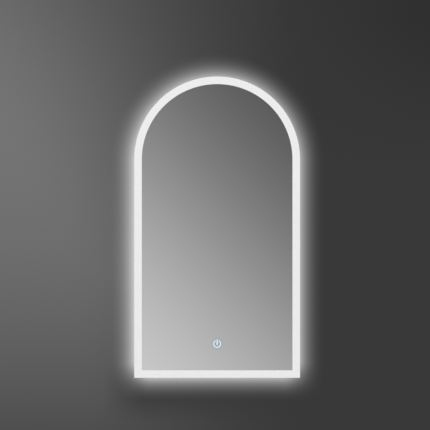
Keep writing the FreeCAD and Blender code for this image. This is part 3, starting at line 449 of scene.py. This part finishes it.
def frosted_glass():
    """The sandblasted border, evenly lit from behind, with that light painted on as a glow."""
    look = Shader("frosted_glass", (0.30, 0.30, 0.30), 0.55)
    grain = look.noise(1400, 2.0)
    look.vary_colour(look.noise(60), 0.97, 1.03)
    look.vary_roughness(grain, 0.08)
    look.bump(grain, 0.00004)
    look.glow((1.0, 1.0, 1.0), 0.555)
    return look.material


def glass_edge():
    """The polished edge, with the green of float glass and a painted glow for the light that it carries."""
    look = Shader("glass_edge", (0.56, 0.68, 0.64), 0.06)
    look.vary_colour(look.noise(90, 2.0), 0.96, 1.05)
    look.set(Transmission_Weight=0.35, IOR=1.52)
    look.glow((0.86, 1.0, 0.96), 0.28)
    return look.material


def symbol_light():
    look = Shader("symbol_light", (0.10, 0.12, 0.13), 0.45)
    look.vary_roughness(look.noise(2500, 2.0), 0.08)
    # Painted glow for the light that shines through the symbol from behind
    look.glow((0.82, 0.92, 0.98), 0.90)
    return look.material


def opal_plastic():
    look = Shader("opal_plastic", (0.46, 0.46, 0.455), 0.38)
    look.vary_colour(look.noise(25), 0.98, 1.02)
    look.vary_roughness(look.noise(300, 3.0), 0.06)
    look.set(Subsurface_Weight=0.15)
    look.surface.inputs["Subsurface Radius"].default_value = (0.004, 0.004, 0.004)
    # Painted glow for the light of the LED strips behind the diffuser
    look.glow((1.0, 0.995, 0.985), 0.34)
    return look.material


def mirror_back():
    """Grey protective paint under a woven safety film."""
    look = Shader("mirror_back", (0.50, 0.53, 0.54), 0.42)
    weave_x = look.node("ShaderNodeTexWave", Vector=look.place(), Scale=260, Distortion=0.6)
    weave_z = look.node("ShaderNodeTexWave", Vector=look.place(), Scale=260, Distortion=0.6)
    weave_z.bands_direction = "Z"
    look.vary_colour(look.noise(9, 3.0), 0.95, 1.05)
    look.bump(weave_x.outputs["Fac"], 0.00005)
    look.bump(weave_z.outputs["Fac"], 0.00005)
    look.vary_roughness(look.noise(40), 0.07)
    return look.material


def foam_tape():
    look = Shader("foam_tape", (0.86, 0.86, 0.83), 0.85)
    look.vary_colour(look.noise(700, 2.0), 0.9, 1.03)
    look.bump(look.cells(1600, "Distance"), 0.0001)
    return look.material


def drawn_aluminium(name, lines_run):
    """Satin anodised aluminium, with the fine lines that the extrusion die leaves along it."""
    look = Shader(name, (0.74, 0.75, 0.76), 0.36, 1.0)
    sums = Formula(look.tree)
    place = look.node("ShaderNodeSeparateXYZ", Vector=look.place())
    across, along = lines_run(sums, place.outputs["X"], place.outputs["Z"])
    where = look.node("ShaderNodeCombineXYZ", X=across, Y=place.outputs["Y"], Z=sums.times(along, 0.02))
    streaks = look.node("ShaderNodeTexNoise", Vector=where.outputs["Vector"], Scale=700, Detail=3.0)
    lines = streaks.outputs["Fac"]
    look.vary_colour(lines, 0.93, 1.05)
    look.vary_roughness(lines, 0.09)
    look.bump(lines, 0.00004)
    return look.material


def lines_round_arch(sums, x, z):
    """Across and along the arched length: up its legs and round its crown."""
    crown = sums.above(z, ARCH_CENTRE)
    rise = sums.take(z, ARCH_CENTRE)
    turned = sums.times(sums.math("ARCTAN2", rise, x), HALF_WIDTH)
    return sums.choose(crown, sums.length(x, rise), sums.size(x)), sums.choose(crown, turned, rise)


def lines_along_foot(sums, x, z):
    """Across and along the straight foot."""
    return z, x


def cast_alloy():
    look = Shader("cast_alloy", (0.55, 0.56, 0.58), 0.5, 1.0)
    look.vary_colour(look.noise(120), 0.9, 1.08)
    look.bump(look.noise(900), 0.0002)
    return look.material


def zinc_plate():
    look = Shader("zinc_plate", (0.72, 0.74, 0.76), 0.26, 1.0)
    look.vary_colour(look.noise(400), 0.92, 1.06)
    look.vary_roughness(look.noise(900), 0.08)
    look.bump(look.noise(2200), 0.00003)
    return look.material


def galvanised():
    """Sheet steel with the crystals of its zinc coat."""
    look = Shader("galvanised", (0.62, 0.64, 0.66), 0.38, 1.0)
    spangle = look.node("ShaderNodeSeparateColor", Color=look.cells(200)).outputs["Red"]
    look.vary_colour(spangle, 0.93, 1.06)
    look.vary_roughness(look.noise(260), 0.1)
    look.bump(spangle, 0.00004)
    return look.material


def strip_circuit():
    look = Shader("strip_circuit", (0.90, 0.90, 0.89), 0.4)
    look.vary_colour(look.noise(300, 2.0), 0.96, 1.02)
    look.vary_roughness(look.noise(800), 0.06)
    return look.material


def lit_chip():
    look = Shader("lit_chip", (0.80, 0.74, 0.46), 0.35)
    look.vary_roughness(look.noise(900), 0.1)
    look.glow((1.0, 0.98, 0.94), 1.0)
    return look.material


def rubber(name, shade):
    look = Shader(name, (shade, shade, shade * 1.03), 0.78)
    look.vary_colour(look.noise(500), 0.8, 1.25)
    look.vary_roughness(look.noise(700), 0.1)
    look.bump(look.noise(1800), 0.00008)
    return look.material


def heating_film():
    """Amber film over one thin track that runs to and fro."""
    look = Shader("heating_film", (0.60, 0.36, 0.13), 0.3)
    low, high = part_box("demister_pad")
    end, half_track = high.x - HEATER_MARGIN, HEATER_TRACK / 2
    sums = Formula(look.tree)
    place = look.node("ShaderNodeSeparateXYZ", Vector=look.place())
    x = place.outputs["X"]
    rows = sums.over(sums.take(place.outputs["Z"], low.z), HEATER_PITCH)
    off_row = sums.times(sums.size(sums.take(sums.math("FRACT", rows), 0.5)), HEATER_PITCH)
    row = sums.times(sums.above(half_track, off_row), sums.above(end, sums.size(x)))
    parity = sums.math("MODULO", sums.math("FLOOR", sums.add(rows, 0.5)), 2.0)
    side = sums.times(sums.math("SIGN", sums.take(parity, 0.5)), x)
    turn = sums.above(half_track, sums.size(sums.take(end - half_track, side)))
    within = sums.times(sums.above(rows, 0.5), sums.above((high.z - low.z) / HEATER_PITCH - 0.5, rows))
    track = sums.times(within, sums.math("MAXIMUM", row, turn))
    film = look.between(look.ranged(look.noise(20), 0, 1), (0.56, 0.33, 0.12, 1), (0.64, 0.39, 0.15, 1))
    look.feed(look.surface.inputs["Base Color"], look.between(track, film, (0.30, 0.17, 0.075, 1)))
    look.bump(track, 0.00008)
    look.vary_roughness(look.noise(160), 0.08)
    return look.material


def sheath(name, colour):
    look = Shader(name, colour, 0.42)
    look.vary_colour(look.noise(260), 0.94, 1.05)
    look.vary_roughness(look.noise(900), 0.08)
    look.bump(look.noise(1500, 2.0), 0.00003)
    return look.material


def earth_sheath():
    """Green with two yellow stripes along the lead."""
    look = Shader("earth_sheath", (0.10, 0.40, 0.09), 0.42)
    unrolled = look.node("ShaderNodeTexCoord").outputs["UV"]
    around = look.node("ShaderNodeSeparateXYZ", Vector=unrolled).outputs["Y"]
    sums = Formula(look.tree)
    stripe = sums.above(sums.math("FRACT", sums.times(around, 2.0)), 0.62)
    look.feed(look.surface.inputs["Base Color"], look.between(stripe, look.colour, (0.82, 0.70, 0.08, 1)))
    look.vary_roughness(look.noise(900), 0.08)
    look.bump(look.noise(1500, 2.0), 0.00003)
    return look.material


def moulded(name, colour, roughness=0.5, grain=0.00005):
    """Moulded plastic with a fine spark texture."""
    look = Shader(name, colour, roughness)
    look.vary_colour(look.noise(18), 0.97, 1.03)
    look.vary_roughness(look.noise(500), 0.07)
    look.bump(look.noise(1600, 3.0), grain)
    return look.material


def plain_metal(name, colour, roughness):
    look = Shader(name, colour, roughness, 1.0)
    look.vary_colour(look.noise(500), 0.92, 1.06)
    look.vary_roughness(look.noise(900), 0.08)
    return look.material


def clear_acrylic():
    look = Shader("clear_acrylic", (0.93, 0.96, 0.97), 0.08)
    look.vary_roughness(look.noise(300), 0.03)
    look.set(Transmission_Weight=0.85, IOR=1.49)
    return look.material


MAKERS = {
    "glass": glass_edge,
    "silvering": mirror_back,
    "foam_tape": foam_tape,
    "anodised": lambda: drawn_aluminium("anodised_arch", lines_round_arch),
    "key_alloy": cast_alloy,
    "zinc_steel": zinc_plate,
    "galvanised": galvanised,
    "strip_circuit": strip_circuit,
    "led_phosphor": lit_chip,
    "opal": opal_plastic,
    "bumper_rubber": lambda: rubber("bumper_rubber", 0.05),
    "heating_film": heating_film,
    "lead_sheath": lambda: sheath("white_sheath", (0.86, 0.86, 0.84)),
    "live_sheath": lambda: sheath("brown_sheath", (0.20, 0.085, 0.04)),
    "neutral_sheath": lambda: sheath("blue_sheath", (0.04, 0.16, 0.52)),
    "earth_sheath": earth_sheath,
    "box_plastic": lambda: moulded("box_plastic", (0.74, 0.74, 0.73)),
    "grommet_rubber": lambda: rubber("grommet_rubber", 0.035),
    "terminal_plastic": lambda: moulded("terminal_plastic", (0.78, 0.75, 0.66)),
    "brass": lambda: plain_metal("brass", (0.80, 0.62, 0.30), 0.3),
    "driver_case": lambda: moulded("driver_case", (0.03, 0.03, 0.033)),
    "tinned": lambda: plain_metal("tinned_copper", (0.78, 0.78, 0.77), 0.3),
    "clip_nylon": lambda: moulded("clip_nylon", (0.85, 0.85, 0.82), 0.45),
    "switch_plastic": lambda: moulded("switch_plastic", (0.028, 0.028, 0.030), 0.55, 0.00008),
    "board_laminate": lambda: moulded("board_laminate", (0.02, 0.20, 0.09), 0.35),
    "indicator": symbol_light,
    "clear_acrylic": clear_acrylic,
}
LOOKS = {slot: make() for slot, make in MAKERS.items()}
FROST = frosted_glass()
MIRROR = silvered_mirror()
FOOT_ALUMINIUM = drawn_aluminium("anodised_foot", lines_along_foot)


def dress_frame():
    """Give every CAD node the look of its slot in the record."""
    for name, slot in SLOTS.items():
        node = frame["nodes"][name]
        node.data.materials.clear()
        node.data.materials.append(LOOKS[slot])
    frame["nodes"]["chassis_bottom"].data.materials[0] = FOOT_ALUMINIUM


# Pieces

def placed(name, data):
    """A new object in the scene."""
    made = bpy.data.objects.new(name, data)
    bpy.context.scene.collection.objects.link(made)
    return made


def piece(name, mesh, materials, replaced=()):
    """A new piece of the object, in place, riding on the one body."""
    made = placed(name, mesh)
    for material in materials:
        mesh.materials.append(material)
    for face in mesh.polygons:
        face.use_smooth = True
    mesh.set_sharp_from_angle(angle=SMOOTH_ANGLE)
    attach(made, "root")
    if replaced:
        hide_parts(*replaced)
    return made


def apply_modifiers(made):
    """Make what the modifiers give the piece's own mesh."""
    bpy.context.view_layer.update()
    result = bpy.data.meshes.new_from_object(made.evaluated_get(bpy.context.evaluated_depsgraph_get()))
    made.modifiers.clear()
    made.data = result


def keep_flats_flat(made):
    """Let the large faces set the shading where small rounded ones meet them."""
    made.modifiers.new("Flats", "WEIGHTED_NORMAL").keep_sharp = True
    apply_modifiers(made)


def finished(name, shape):
    """The mesh of a shape that needs no more work."""
    mesh = bpy.data.meshes.new(name)
    shape.to_mesh(mesh)
    shape.free()
    return mesh


def round_edges(shape, edges, radius):
    """Give edges a radius, in a few steps."""
    bmesh.ops.bevel(shape, geom=edges, offset=radius, segments=BEND_STEPS, affect="EDGES", profile=0.5)


def mesh_from(name, points, faces, material_of=None):
    mesh = bpy.data.meshes.new(name)
    mesh.from_pydata(points, [], faces)
    if material_of:
        for face, number in zip(mesh.polygons, material_of):
            face.material_index = number
    shape = bmesh.new()
    shape.from_mesh(mesh)
    bmesh.ops.recalc_face_normals(shape, faces=shape.faces)
    shape.to_mesh(mesh)
    shape.free()
    return mesh


def slab(name, outline, front, back):
    """A flat piece between two depths, from (x, z) points round its outline."""
    count = len(outline)
    points = [(x, y, z) for y in (front, back) for x, z in outline]
    faces = [tuple(range(count)), tuple(range(2 * count - 1, count - 1, -1))]
    for step in range(count):
        after = (step + 1) % count
        faces.append((step, after, count + after, count + step))
    return mesh_from(name, points, faces)


def arch_outline(inset):
    """Points of the pane's outline, or of one inside it, from the lower right round to the lower left."""
    half, foot = HALF_WIDTH - inset, FOOT + inset
    angles = [math.pi * step / ARC_STEPS for step in range(ARC_STEPS + 1)]
    crown = [(half * math.cos(angle), ARCH_CENTRE + half * math.sin(angle)) for angle in angles]
    return [(half, foot), *crown, (-half, foot)]


def arch_ring(name, profile, material_of):
    """A closed ring that carries a profile of (inset, y) points round the outline."""
    outlines = [[(x, y, z) for x, z in arch_outline(inset)] for inset, y in profile]
    count, around = len(profile), len(outlines[0])
    points = [corner for outline in outlines for corner in outline]
    faces, materials = [], []
    for ring in range(count):
        following = (ring + 1) % count
        for step in range(around):
            after = (step + 1) % around
            faces.append((ring * around + step, ring * around + after,
                          following * around + after, following * around + step))
            materials.append(material_of[ring])
    return mesh_from(name, points, faces, materials)


def pane():
    """The lit border and the edge as one ring of glass, and the silvered middle as a slab inside it."""
    turns = (0, math.pi / 6, math.pi / 3, math.pi / 2)
    bevel = [(ARRIS * (1 - math.sin(turn)), ARRIS * (1 - math.cos(turn))) for turn in turns]
    front = [(inset, PANE_FRONT + depth) for inset, depth in bevel]
    back = [(inset, PANE_BACK - depth) for inset, depth in reversed(bevel)]
    profile = [(BORDER, PANE_FRONT), *front, *back, (BORDER, PANE_BACK)]
    frosted, clear = 0, 1
    material_of = [frosted] + [clear] * (len(front) + len(back) - 1) + [frosted, clear]
    ring = arch_ring("lit_border", profile, material_of)
    piece("lit_border", ring, [FROST, LOOKS["glass"]], ["mirror_glass"])
    middle = slab("mirror_face", arch_outline(BORDER), PANE_FRONT, PANE_BACK)
    piece("mirror_face", middle, [MIRROR], ["mirror_glass"])


def stroke(centre_line):
    """Outline of a stroke with round ends, about a line of (x, z, width) points."""
    left, right = [], []
    for number, (x, z, width) in enumerate(centre_line):
        before = centre_line[max(0, number - 1)]
        after = centre_line[min(len(centre_line) - 1, number + 1)]
        along = Vector((after[0] - before[0], after[1] - before[1])).normalized()
        left.append((x - along.y * width / 2, z + along.x * width / 2))
        right.append((x + along.y * width / 2, z - along.x * width / 2))

    def cap(end, side):
        """Points round an end, from one side to the other."""
        x, z, width = end
        start = math.atan2(side[1] - z, side[0] - x)
        angles = [start - math.pi * step / CAP_STEPS for step in range(1, CAP_STEPS)]
        return [(x + math.cos(angle) * width / 2, z + math.sin(angle) * width / 2) for angle in angles]

    return [*left, *cap(centre_line[-1], left[-1]), *reversed(right), *cap(centre_line[0], right[0])]


def touch_symbol():
    """A broken ring and a bar that widens downwards, lit through the silvering."""
    low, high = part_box("icon_light_guide")
    centre_x, centre_z = (low.x + high.x) / 2, (low.z + high.z) / 2
    turn = 2 * math.pi - 2 * SYMBOL_GAP
    angles = [math.pi / 2 + SYMBOL_GAP + turn * step / SYMBOL_STEPS for step in range(SYMBOL_STEPS + 1)]
    ring = [(centre_x + SYMBOL_RADIUS * math.cos(angle), centre_z + SYMBOL_RADIUS * math.sin(angle),
             SYMBOL_STROKE) for angle in angles]
    bar = [(centre_x, centre_z + SYMBOL_BAR_FOOT, SYMBOL_BAR_FOOT_WIDTH),
           (centre_x, centre_z + SYMBOL_BAR_TOP, SYMBOL_BAR_TOP_WIDTH)]
    for name, line in (("symbol_ring", ring), ("symbol_bar", bar)):
        mesh = slab(name, stroke(line), PANE_FRONT - SYMBOL_PROUD, PANE_FRONT + SYMBOL_PROUD)
        piece(name, mesh, [LOOKS["indicator"]])


def rounded_block(name, low, high, radius, slot, replaced=()):
    """A block with rounded edges."""
    shape = bmesh.new()
    bmesh.ops.create_cube(shape, size=1)
    for vertex in shape.verts:
        for axis in range(3):
            vertex.co[axis] = high[axis] if vertex.co[axis] > 0 else low[axis]
    round_edges(shape, list(shape.edges), radius)
    keep_flats_flat(piece(name, finished(name, shape), [LOOKS[slot]], replaced))


def softened(node, radius):
    """A part with the small radius that its edges have, in place of the sharp one."""
    name = node + "_soft"
    plain = frame["nodes"][node].data
    shape = bmesh.new()
    shape.from_mesh(plain)
    bmesh.ops.remove_doubles(shape, verts=shape.verts, dist=WELD)
    bmesh.ops.dissolve_limit(shape, angle_limit=FLAT_ANGLE, verts=shape.verts, edges=shape.edges)
    sharp = [edge for edge in shape.edges if len(edge.link_faces) == 2
             and edge.calc_face_angle() > SHARP_ANGLE and edge.calc_length() > SHORTEST_EDGE]
    round_edges(shape, sharp, radius)
    bmesh.ops.recalc_face_normals(shape, faces=shape.faces)
    keep_flats_flat(piece(name, finished(name, shape), [plain.materials[0]], [node]))


def soften_parts():
    for node, radius in EDGE_RADII.items():
        softened(node, radius)


def lathe(profile):
    """A solid turned about the Y axis from (radius, y) points that start and end on the axis."""
    turns = [2 * math.pi * step / LATHE_STEPS for step in range(LATHE_STEPS)]
    points, faces, rings = [], [], []
    for radius, y in profile:
        ring = [(radius * math.cos(turn), y, radius * math.sin(turn)) for turn in turns]
        if radius == 0:
            ring = [(0, y, 0)]
        rings.append(range(len(points), len(points) + len(ring)))
        points += ring
    for first, second in zip(rings, rings[1:]):
        for step in range(LATHE_STEPS):
            after = (step + 1) % LATHE_STEPS
            corners = [first[step % len(first)], first[after % len(first)],
                       second[after % len(second)], second[step % len(second)]]
            faces.append(tuple(dict.fromkeys(corners)))
    return points, faces


def cross_cutter(x, z, rear, radius, depth, turned):
    """Two crossed bars that narrow inwards, to cut a recess in a head whose face is at rear."""
    shape = bmesh.new()
    for long_axis in (0, 2):
        for vertex in bmesh.ops.create_cube(shape, size=1)["verts"]:
            outer = vertex.co.y > 0
            taper = 1.0 if outer else RECESS_TAPER
            vertex.co[long_axis] *= RECESS_LENGTH * radius * taper
            vertex.co[2 - long_axis] *= RECESS_WIDTH * radius * taper
            vertex.co.y = rear + RECESS_CLEAR if outer else rear - depth
    for vertex in shape.verts:
        across, up = vertex.co.x, vertex.co.z
        vertex.co.x = x + across * math.cos(turned) - up * math.sin(turned)
        vertex.co.z = z + across * math.sin(turned) + up * math.cos(turned)
    return placed("recess", finished("recess", shape))


def cross_screw(name, head, radius, depth, places, replaced=()):
    """Screws that face the wall, each with a cross recess cut in its turned head."""
    points, faces = lathe(head)
    rear = max(y for _, y in head)
    for number, (x, z) in enumerate(places):
        mesh = mesh_from(name, [(x + across, y, z + up) for across, y, up in points], faces)
        made = piece(f"{name}_{number}", mesh, [LOOKS[SCREW_SLOT]], replaced)
        cutter = cross_cutter(x, z, rear, radius, depth, FIRST_TURN + NEXT_TURN * number)
        cut = made.modifiers.new("Recess", "BOOLEAN")
        cut.object = cutter
        cut.solver = "EXACT"
        cut.use_self = True
        apply_modifiers(made)
        bpy.data.objects.remove(cutter)


def fasteners():
    """Countersunk screws in the rail, and pan heads that hold the lid down."""
    low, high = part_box("rail_screws")
    radius = (high.z - low.z) / 2
    shank = radius * SHANK_SHARE
    face = high.y - RAIL_SCREW_SUNK
    sunk = [(0, face), (radius, face), (shank, high.y - COUNTERSINK_DEPTH), (shank, low.y), (0, low.y)]
    side = high.x - radius
    middle = (low.z + high.z) / 2
    ends = [(-side, middle), (side, middle)]
    cross_screw("rail_screw", sunk, radius, RAIL_RECESS_DEPTH, ends, ["rail_screws"])
    pan = [(PAN_RADIUS * out, BOX_HIGH.y + PAN_HEIGHT * up) for out, up in PAN_PROFILE]
    corners = [(x, z) for x in (BOX_LOW.x + SCREW_INSET, BOX_HIGH.x - SCREW_INSET)
               for z in (BOX_LOW.z + SCREW_INSET, BOX_HIGH.z - SCREW_INSET)]
    cross_screw("lid_screw", pan, PAN_RADIUS, LID_RECESS_DEPTH, corners)


def smooth_lead(name, node, radius, route):
    """A round lead on a smooth line, in place of the node's plain one. The route's points are part.py's."""
    slot = SLOTS[node]
    line = bpy.data.curves.new(name, "CURVE")
    line.dimensions = "3D"
    line.bevel_depth = radius
    line.bevel_resolution = LEAD_ROUND_STEPS
    line.use_fill_caps = True
    spline = line.splines.new("NURBS")
    spline.points.add(len(route) - 1)
    for point, place in zip(spline.points, route):
        point.co = (*place, 1)
    spline.use_endpoint_u = True
    spline.order_u = 3
    spline.resolution_u = LEAD_LINE_STEPS
    made = placed(name, line)
    line.materials.append(LOOKS[slot])
    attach(made, "root")
    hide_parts(node)


def leads():
    for node, (radius, route) in LEADS.items():
        smooth_lead(node + "_line", node, radius, route)
    for name, side in (("left_link_line", -1), ("right_link_line", 1)):
        route = [(side * across, depth, height) for across, depth, height in LINK_ROUTE]
        smooth_lead(name, "strip_link_leads", CORE_RADIUS, route)


def bumpers():
    """Soft pads with rounded edges, in place of the plain ones."""
    low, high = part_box("wall_bumpers")
    half = BUMPER_SIDE / 2
    rows = [low.z + half, low.z + half + BUMPER_RISE]
    places = [(x, z) for x in (low.x + half, high.x - half) for z in rows]
    places.append((0, high.z - half))
    for number, (x, z) in enumerate(places):
        near, far = (x - half, low.y, z - half), (x + half, high.y, z + half)
        rounded_block(f"bumper_{number}", near, far, BUMPER_RADIUS, "bumper_rubber", ["wall_bumpers"])


# Stage

def wall_tone(sums, x, z):
    """The wall's painted light and shade: lit on its left as in the photograph, a band in the mirror's
    shade.
    """
    drop = sums.over(sums.take(z, LIT_HEIGHT), LIT_REACH)
    loss = sums.times(LIT_LOSS, sums.times(drop, drop))
    lit = sums.within(sums.take(LIT_TONE, loss), LIT_LEAST, LIT_TONE)
    start = sums.add(FALL_STARTS, sums.times(FALL_SHIFT, sums.share(z, *FALL_LEAN)))
    fall = sums.take(1.0, sums.eased(sums.share(x, start, FALL_ENDS)))
    below = sums.times(sums.share(z, *SHADE_TOP), sums.share(z, *SHADE_BOTTOM))
    beneath = sums.share(sums.size(x), *SHADE_SIDE)
    shade = sums.take(1.0, sums.times(SHADE_DEPTH, sums.times(below, beneath)))
    corner = sums.times(sums.share(z, *DARK_RISE), sums.share(x, *DARK_ACROSS))
    dark = sums.take(DARK_TONE, sums.times(DARK_LOSS, corner))
    return sums.add(dark, sums.times(sums.take(lit, dark), sums.times(fall, shade)))


def halo_tone(sums, x, z):
    """What the mirror's own light adds round its outline, about half as much off its two corners."""
    across = sums.size(x)
    rise = sums.take(z, ARCH_CENTRE)
    round_crown = sums.take(sums.length(x, rise), HALF_WIDTH)
    beside = sums.math("MAXIMUM", sums.take(across, HALF_WIDTH), 0.0)
    below = sums.math("MAXIMUM", sums.take(FOOT, z), 0.0)
    apart = sums.choose(sums.above(z, ARCH_CENTRE), round_crown, sums.length(beside, below))
    fade = sums.share(apart, HALO_REACH, 0.0)
    past_corner = sums.math("MAXIMUM", sums.take(HALF_WIDTH, across), sums.take(z, FOOT))
    regained = sums.times(1.0 - HALO_CORNER_SHARE, sums.eased(sums.share(past_corner, *HALO_CORNER)))
    sides = sums.times(HALO_ARCH_LOSS, sums.share(rise, *HALO_ARCH_RISE))
    top = sums.times(HALO_CROWN_GAIN, sums.share(rise, *HALO_CROWN_RISE))
    foot = sums.times(HALO_FOOT_GAIN, sums.share(z, *HALO_FOOT_DROP))
    peak = sums.add(sums.add(sums.take(HALO_TONE, sides), top), foot)
    strength = sums.times(peak, sums.add(HALO_CORNER_SHARE, regained))
    return sums.times(strength, sums.math("POWER", fade, HALO_POWER))


def flat_face(name, corners):
    """A stage piece of one face."""
    mesh = bpy.data.meshes.new(name)
    mesh.from_pydata(corners, [], [(0, 1, 2, 3)])
    return placed(name, mesh)


def show_front_only(tree, surface):
    """Let the eye through a stage piece from its far side, so that it hides nothing there."""
    clear = tree.nodes.new("ShaderNodeBsdfTransparent")
    mixed = tree.nodes.new("ShaderNodeMixShader")
    tree.links.new(tree.nodes.new("ShaderNodeNewGeometry").outputs["Backfacing"], mixed.inputs["Fac"])
    tree.links.new(surface, mixed.inputs[1])
    tree.links.new(clear.outputs[0], mixed.inputs[2])
    output = next((node for node in tree.nodes if node.type == "OUTPUT_MATERIAL"), None)
    output = output or tree.nodes.new("ShaderNodeOutputMaterial")
    tree.links.new(mixed.outputs[0], output.inputs["Surface"])


def wall():
    """A wall behind the mirror, seen from its own side only, whose emission paints light, shade and halo.
    """
    made = flat_face("wall", [(-WALL_REACH, WALL, FLOOR), (WALL_REACH, WALL, FLOOR),
                              (WALL_REACH, WALL, WALL_TOP), (-WALL_REACH, WALL, WALL_TOP)])
    material = bpy.data.materials.new("wall_painted_light_and_shade")
    material.use_nodes = True
    tree = material.node_tree
    tree.nodes.clear()
    sums = Formula(tree)
    place = tree.nodes.new("ShaderNodeSeparateXYZ")
    tree.links.new(tree.nodes.new("ShaderNodeTexCoord").outputs["Object"], place.inputs[0])
    x, z = place.outputs["X"], place.outputs["Z"]
    # own: the painted light and shade on the wall, before the painted halo is added
    own = wall_tone(sums, x, z)
    lift = sums.over(sums.take(HALO_CEILING, own), HALO_CEILING - DARK_TONE)
    tone = sums.add(own, sums.times(halo_tone(sums, x, z), lift))
    paint = tree.nodes.new("ShaderNodeEmission")
    tree.links.new(sums.light(tone), paint.inputs["Strength"])
    show_front_only(tree, paint.outputs[0])
    made.data.materials.append(material)
    made.visible_shadow = False
    made.visible_diffuse = False
    made.visible_glossy = False


def ground():
    """A plain pale floor, seen from above only."""
    made = flat_face("ground", [(-FLOOR_REACH, -FLOOR_REACH, FLOOR), (FLOOR_REACH, -FLOOR_REACH, FLOOR),
                                (FLOOR_REACH, FLOOR_REACH, FLOOR), (-FLOOR_REACH, FLOOR_REACH, FLOOR)])
    look = Shader("ground_paint", (0.80, 0.80, 0.79), 0.8)
    look.vary_colour(look.noise(3), 0.99, 1.01)
    show_front_only(look.tree, look.surface.outputs[0])
    made.data.materials.append(look.material)
    made.visible_glossy = False


def world():
    """Even studio light. What mirrors show of it darkens to the upper right, as in the photograph."""
    made = bpy.data.worlds.new("studio")
    bpy.context.scene.world = made
    made.use_nodes = True
    tree = made.node_tree
    tree.nodes.clear()
    sums = Formula(tree)
    way = tree.nodes.new("ShaderNodeSeparateXYZ")
    tree.links.new(tree.nodes.new("ShaderNodeTexCoord").outputs["Generated"], way.inputs[0])
    azimuth = sums.math("ARCTAN2", way.outputs["X"], sums.times(-1.0, way.outputs["Y"]))
    elevation = sums.math("ARCSINE", way.outputs["Z"])
    turned = sums.take(sums.times(MIRRORED_RATE, sums.add(azimuth, elevation)), MIRRORED_START)
    tone = sums.take(MIRRORED_TONE, sums.times(MIRRORED_SWING, sums.math("SINE", turned)))
    seen = sums.over(sums.light(tone), SILVER)
    mirrored = sums.choose(sums.above(0.0, way.outputs["Y"]), seen, REAR_GLOSS_LEVEL)
    rays = tree.nodes.new("ShaderNodeLightPath")
    direct = rays.outputs["Is Camera Ray"]
    glossy = sums.math("MAXIMUM", rays.outputs["Is Glossy Ray"], rays.outputs["Is Transmission Ray"])
    diffuse = sums.take(1.0, sums.within(sums.add(direct, glossy), 0.0, 1.0))
    scattered = sums.add(sums.times(glossy, mirrored), sums.times(diffuse, STUDIO_LEVEL))
    strength = sums.add(sums.times(direct, BACKDROP_LEVEL), scattered)
    background = tree.nodes.new("ShaderNodeBackground")
    background.inputs["Color"].default_value = (1, 1, 1, 1)
    tree.links.new(strength, background.inputs["Strength"])
    tree.links.new(background.outputs[0], tree.nodes.new("ShaderNodeOutputWorld").inputs["Surface"])


def lamps():
    """Soft boxes. Mirrors don't show them."""
    for name, (place, power) in LAMPS.items():
        light = bpy.data.lights.new(name, "AREA")
        light.shape = "DISK"
        light.size = LAMP_SIZE
        light.energy = power
        made = placed(name, light)
        made.location = place
        made.rotation_mode = "QUATERNION"
        made.rotation_quaternion = (Vector(LAMP_AIM) - Vector(place)).to_track_quat("-Z", "Y")
        made.visible_glossy = False


def camera():
    """Straight in front, at the distance that puts the photograph's width in the frame."""
    made = placed("camera", bpy.data.cameras.new("camera"))
    made.data.lens = LENS
    made.data.sensor_width = SENSOR
    distance = PICTURE_WIDTH * LENS / SENSOR
    made.location = (CAMERA_X, PANE_FRONT - distance, CAMERA_Z)
    made.rotation_euler = (math.pi / 2, 0, 0)
    bpy.context.scene.camera = made


camera()
dress_frame()
pane()
touch_symbol()
leads()
bumpers()
soften_parts()
fasteners()
wall()
ground()
world()
lamps()
bpy.context.scene.view_settings.view_transform = "Standard"
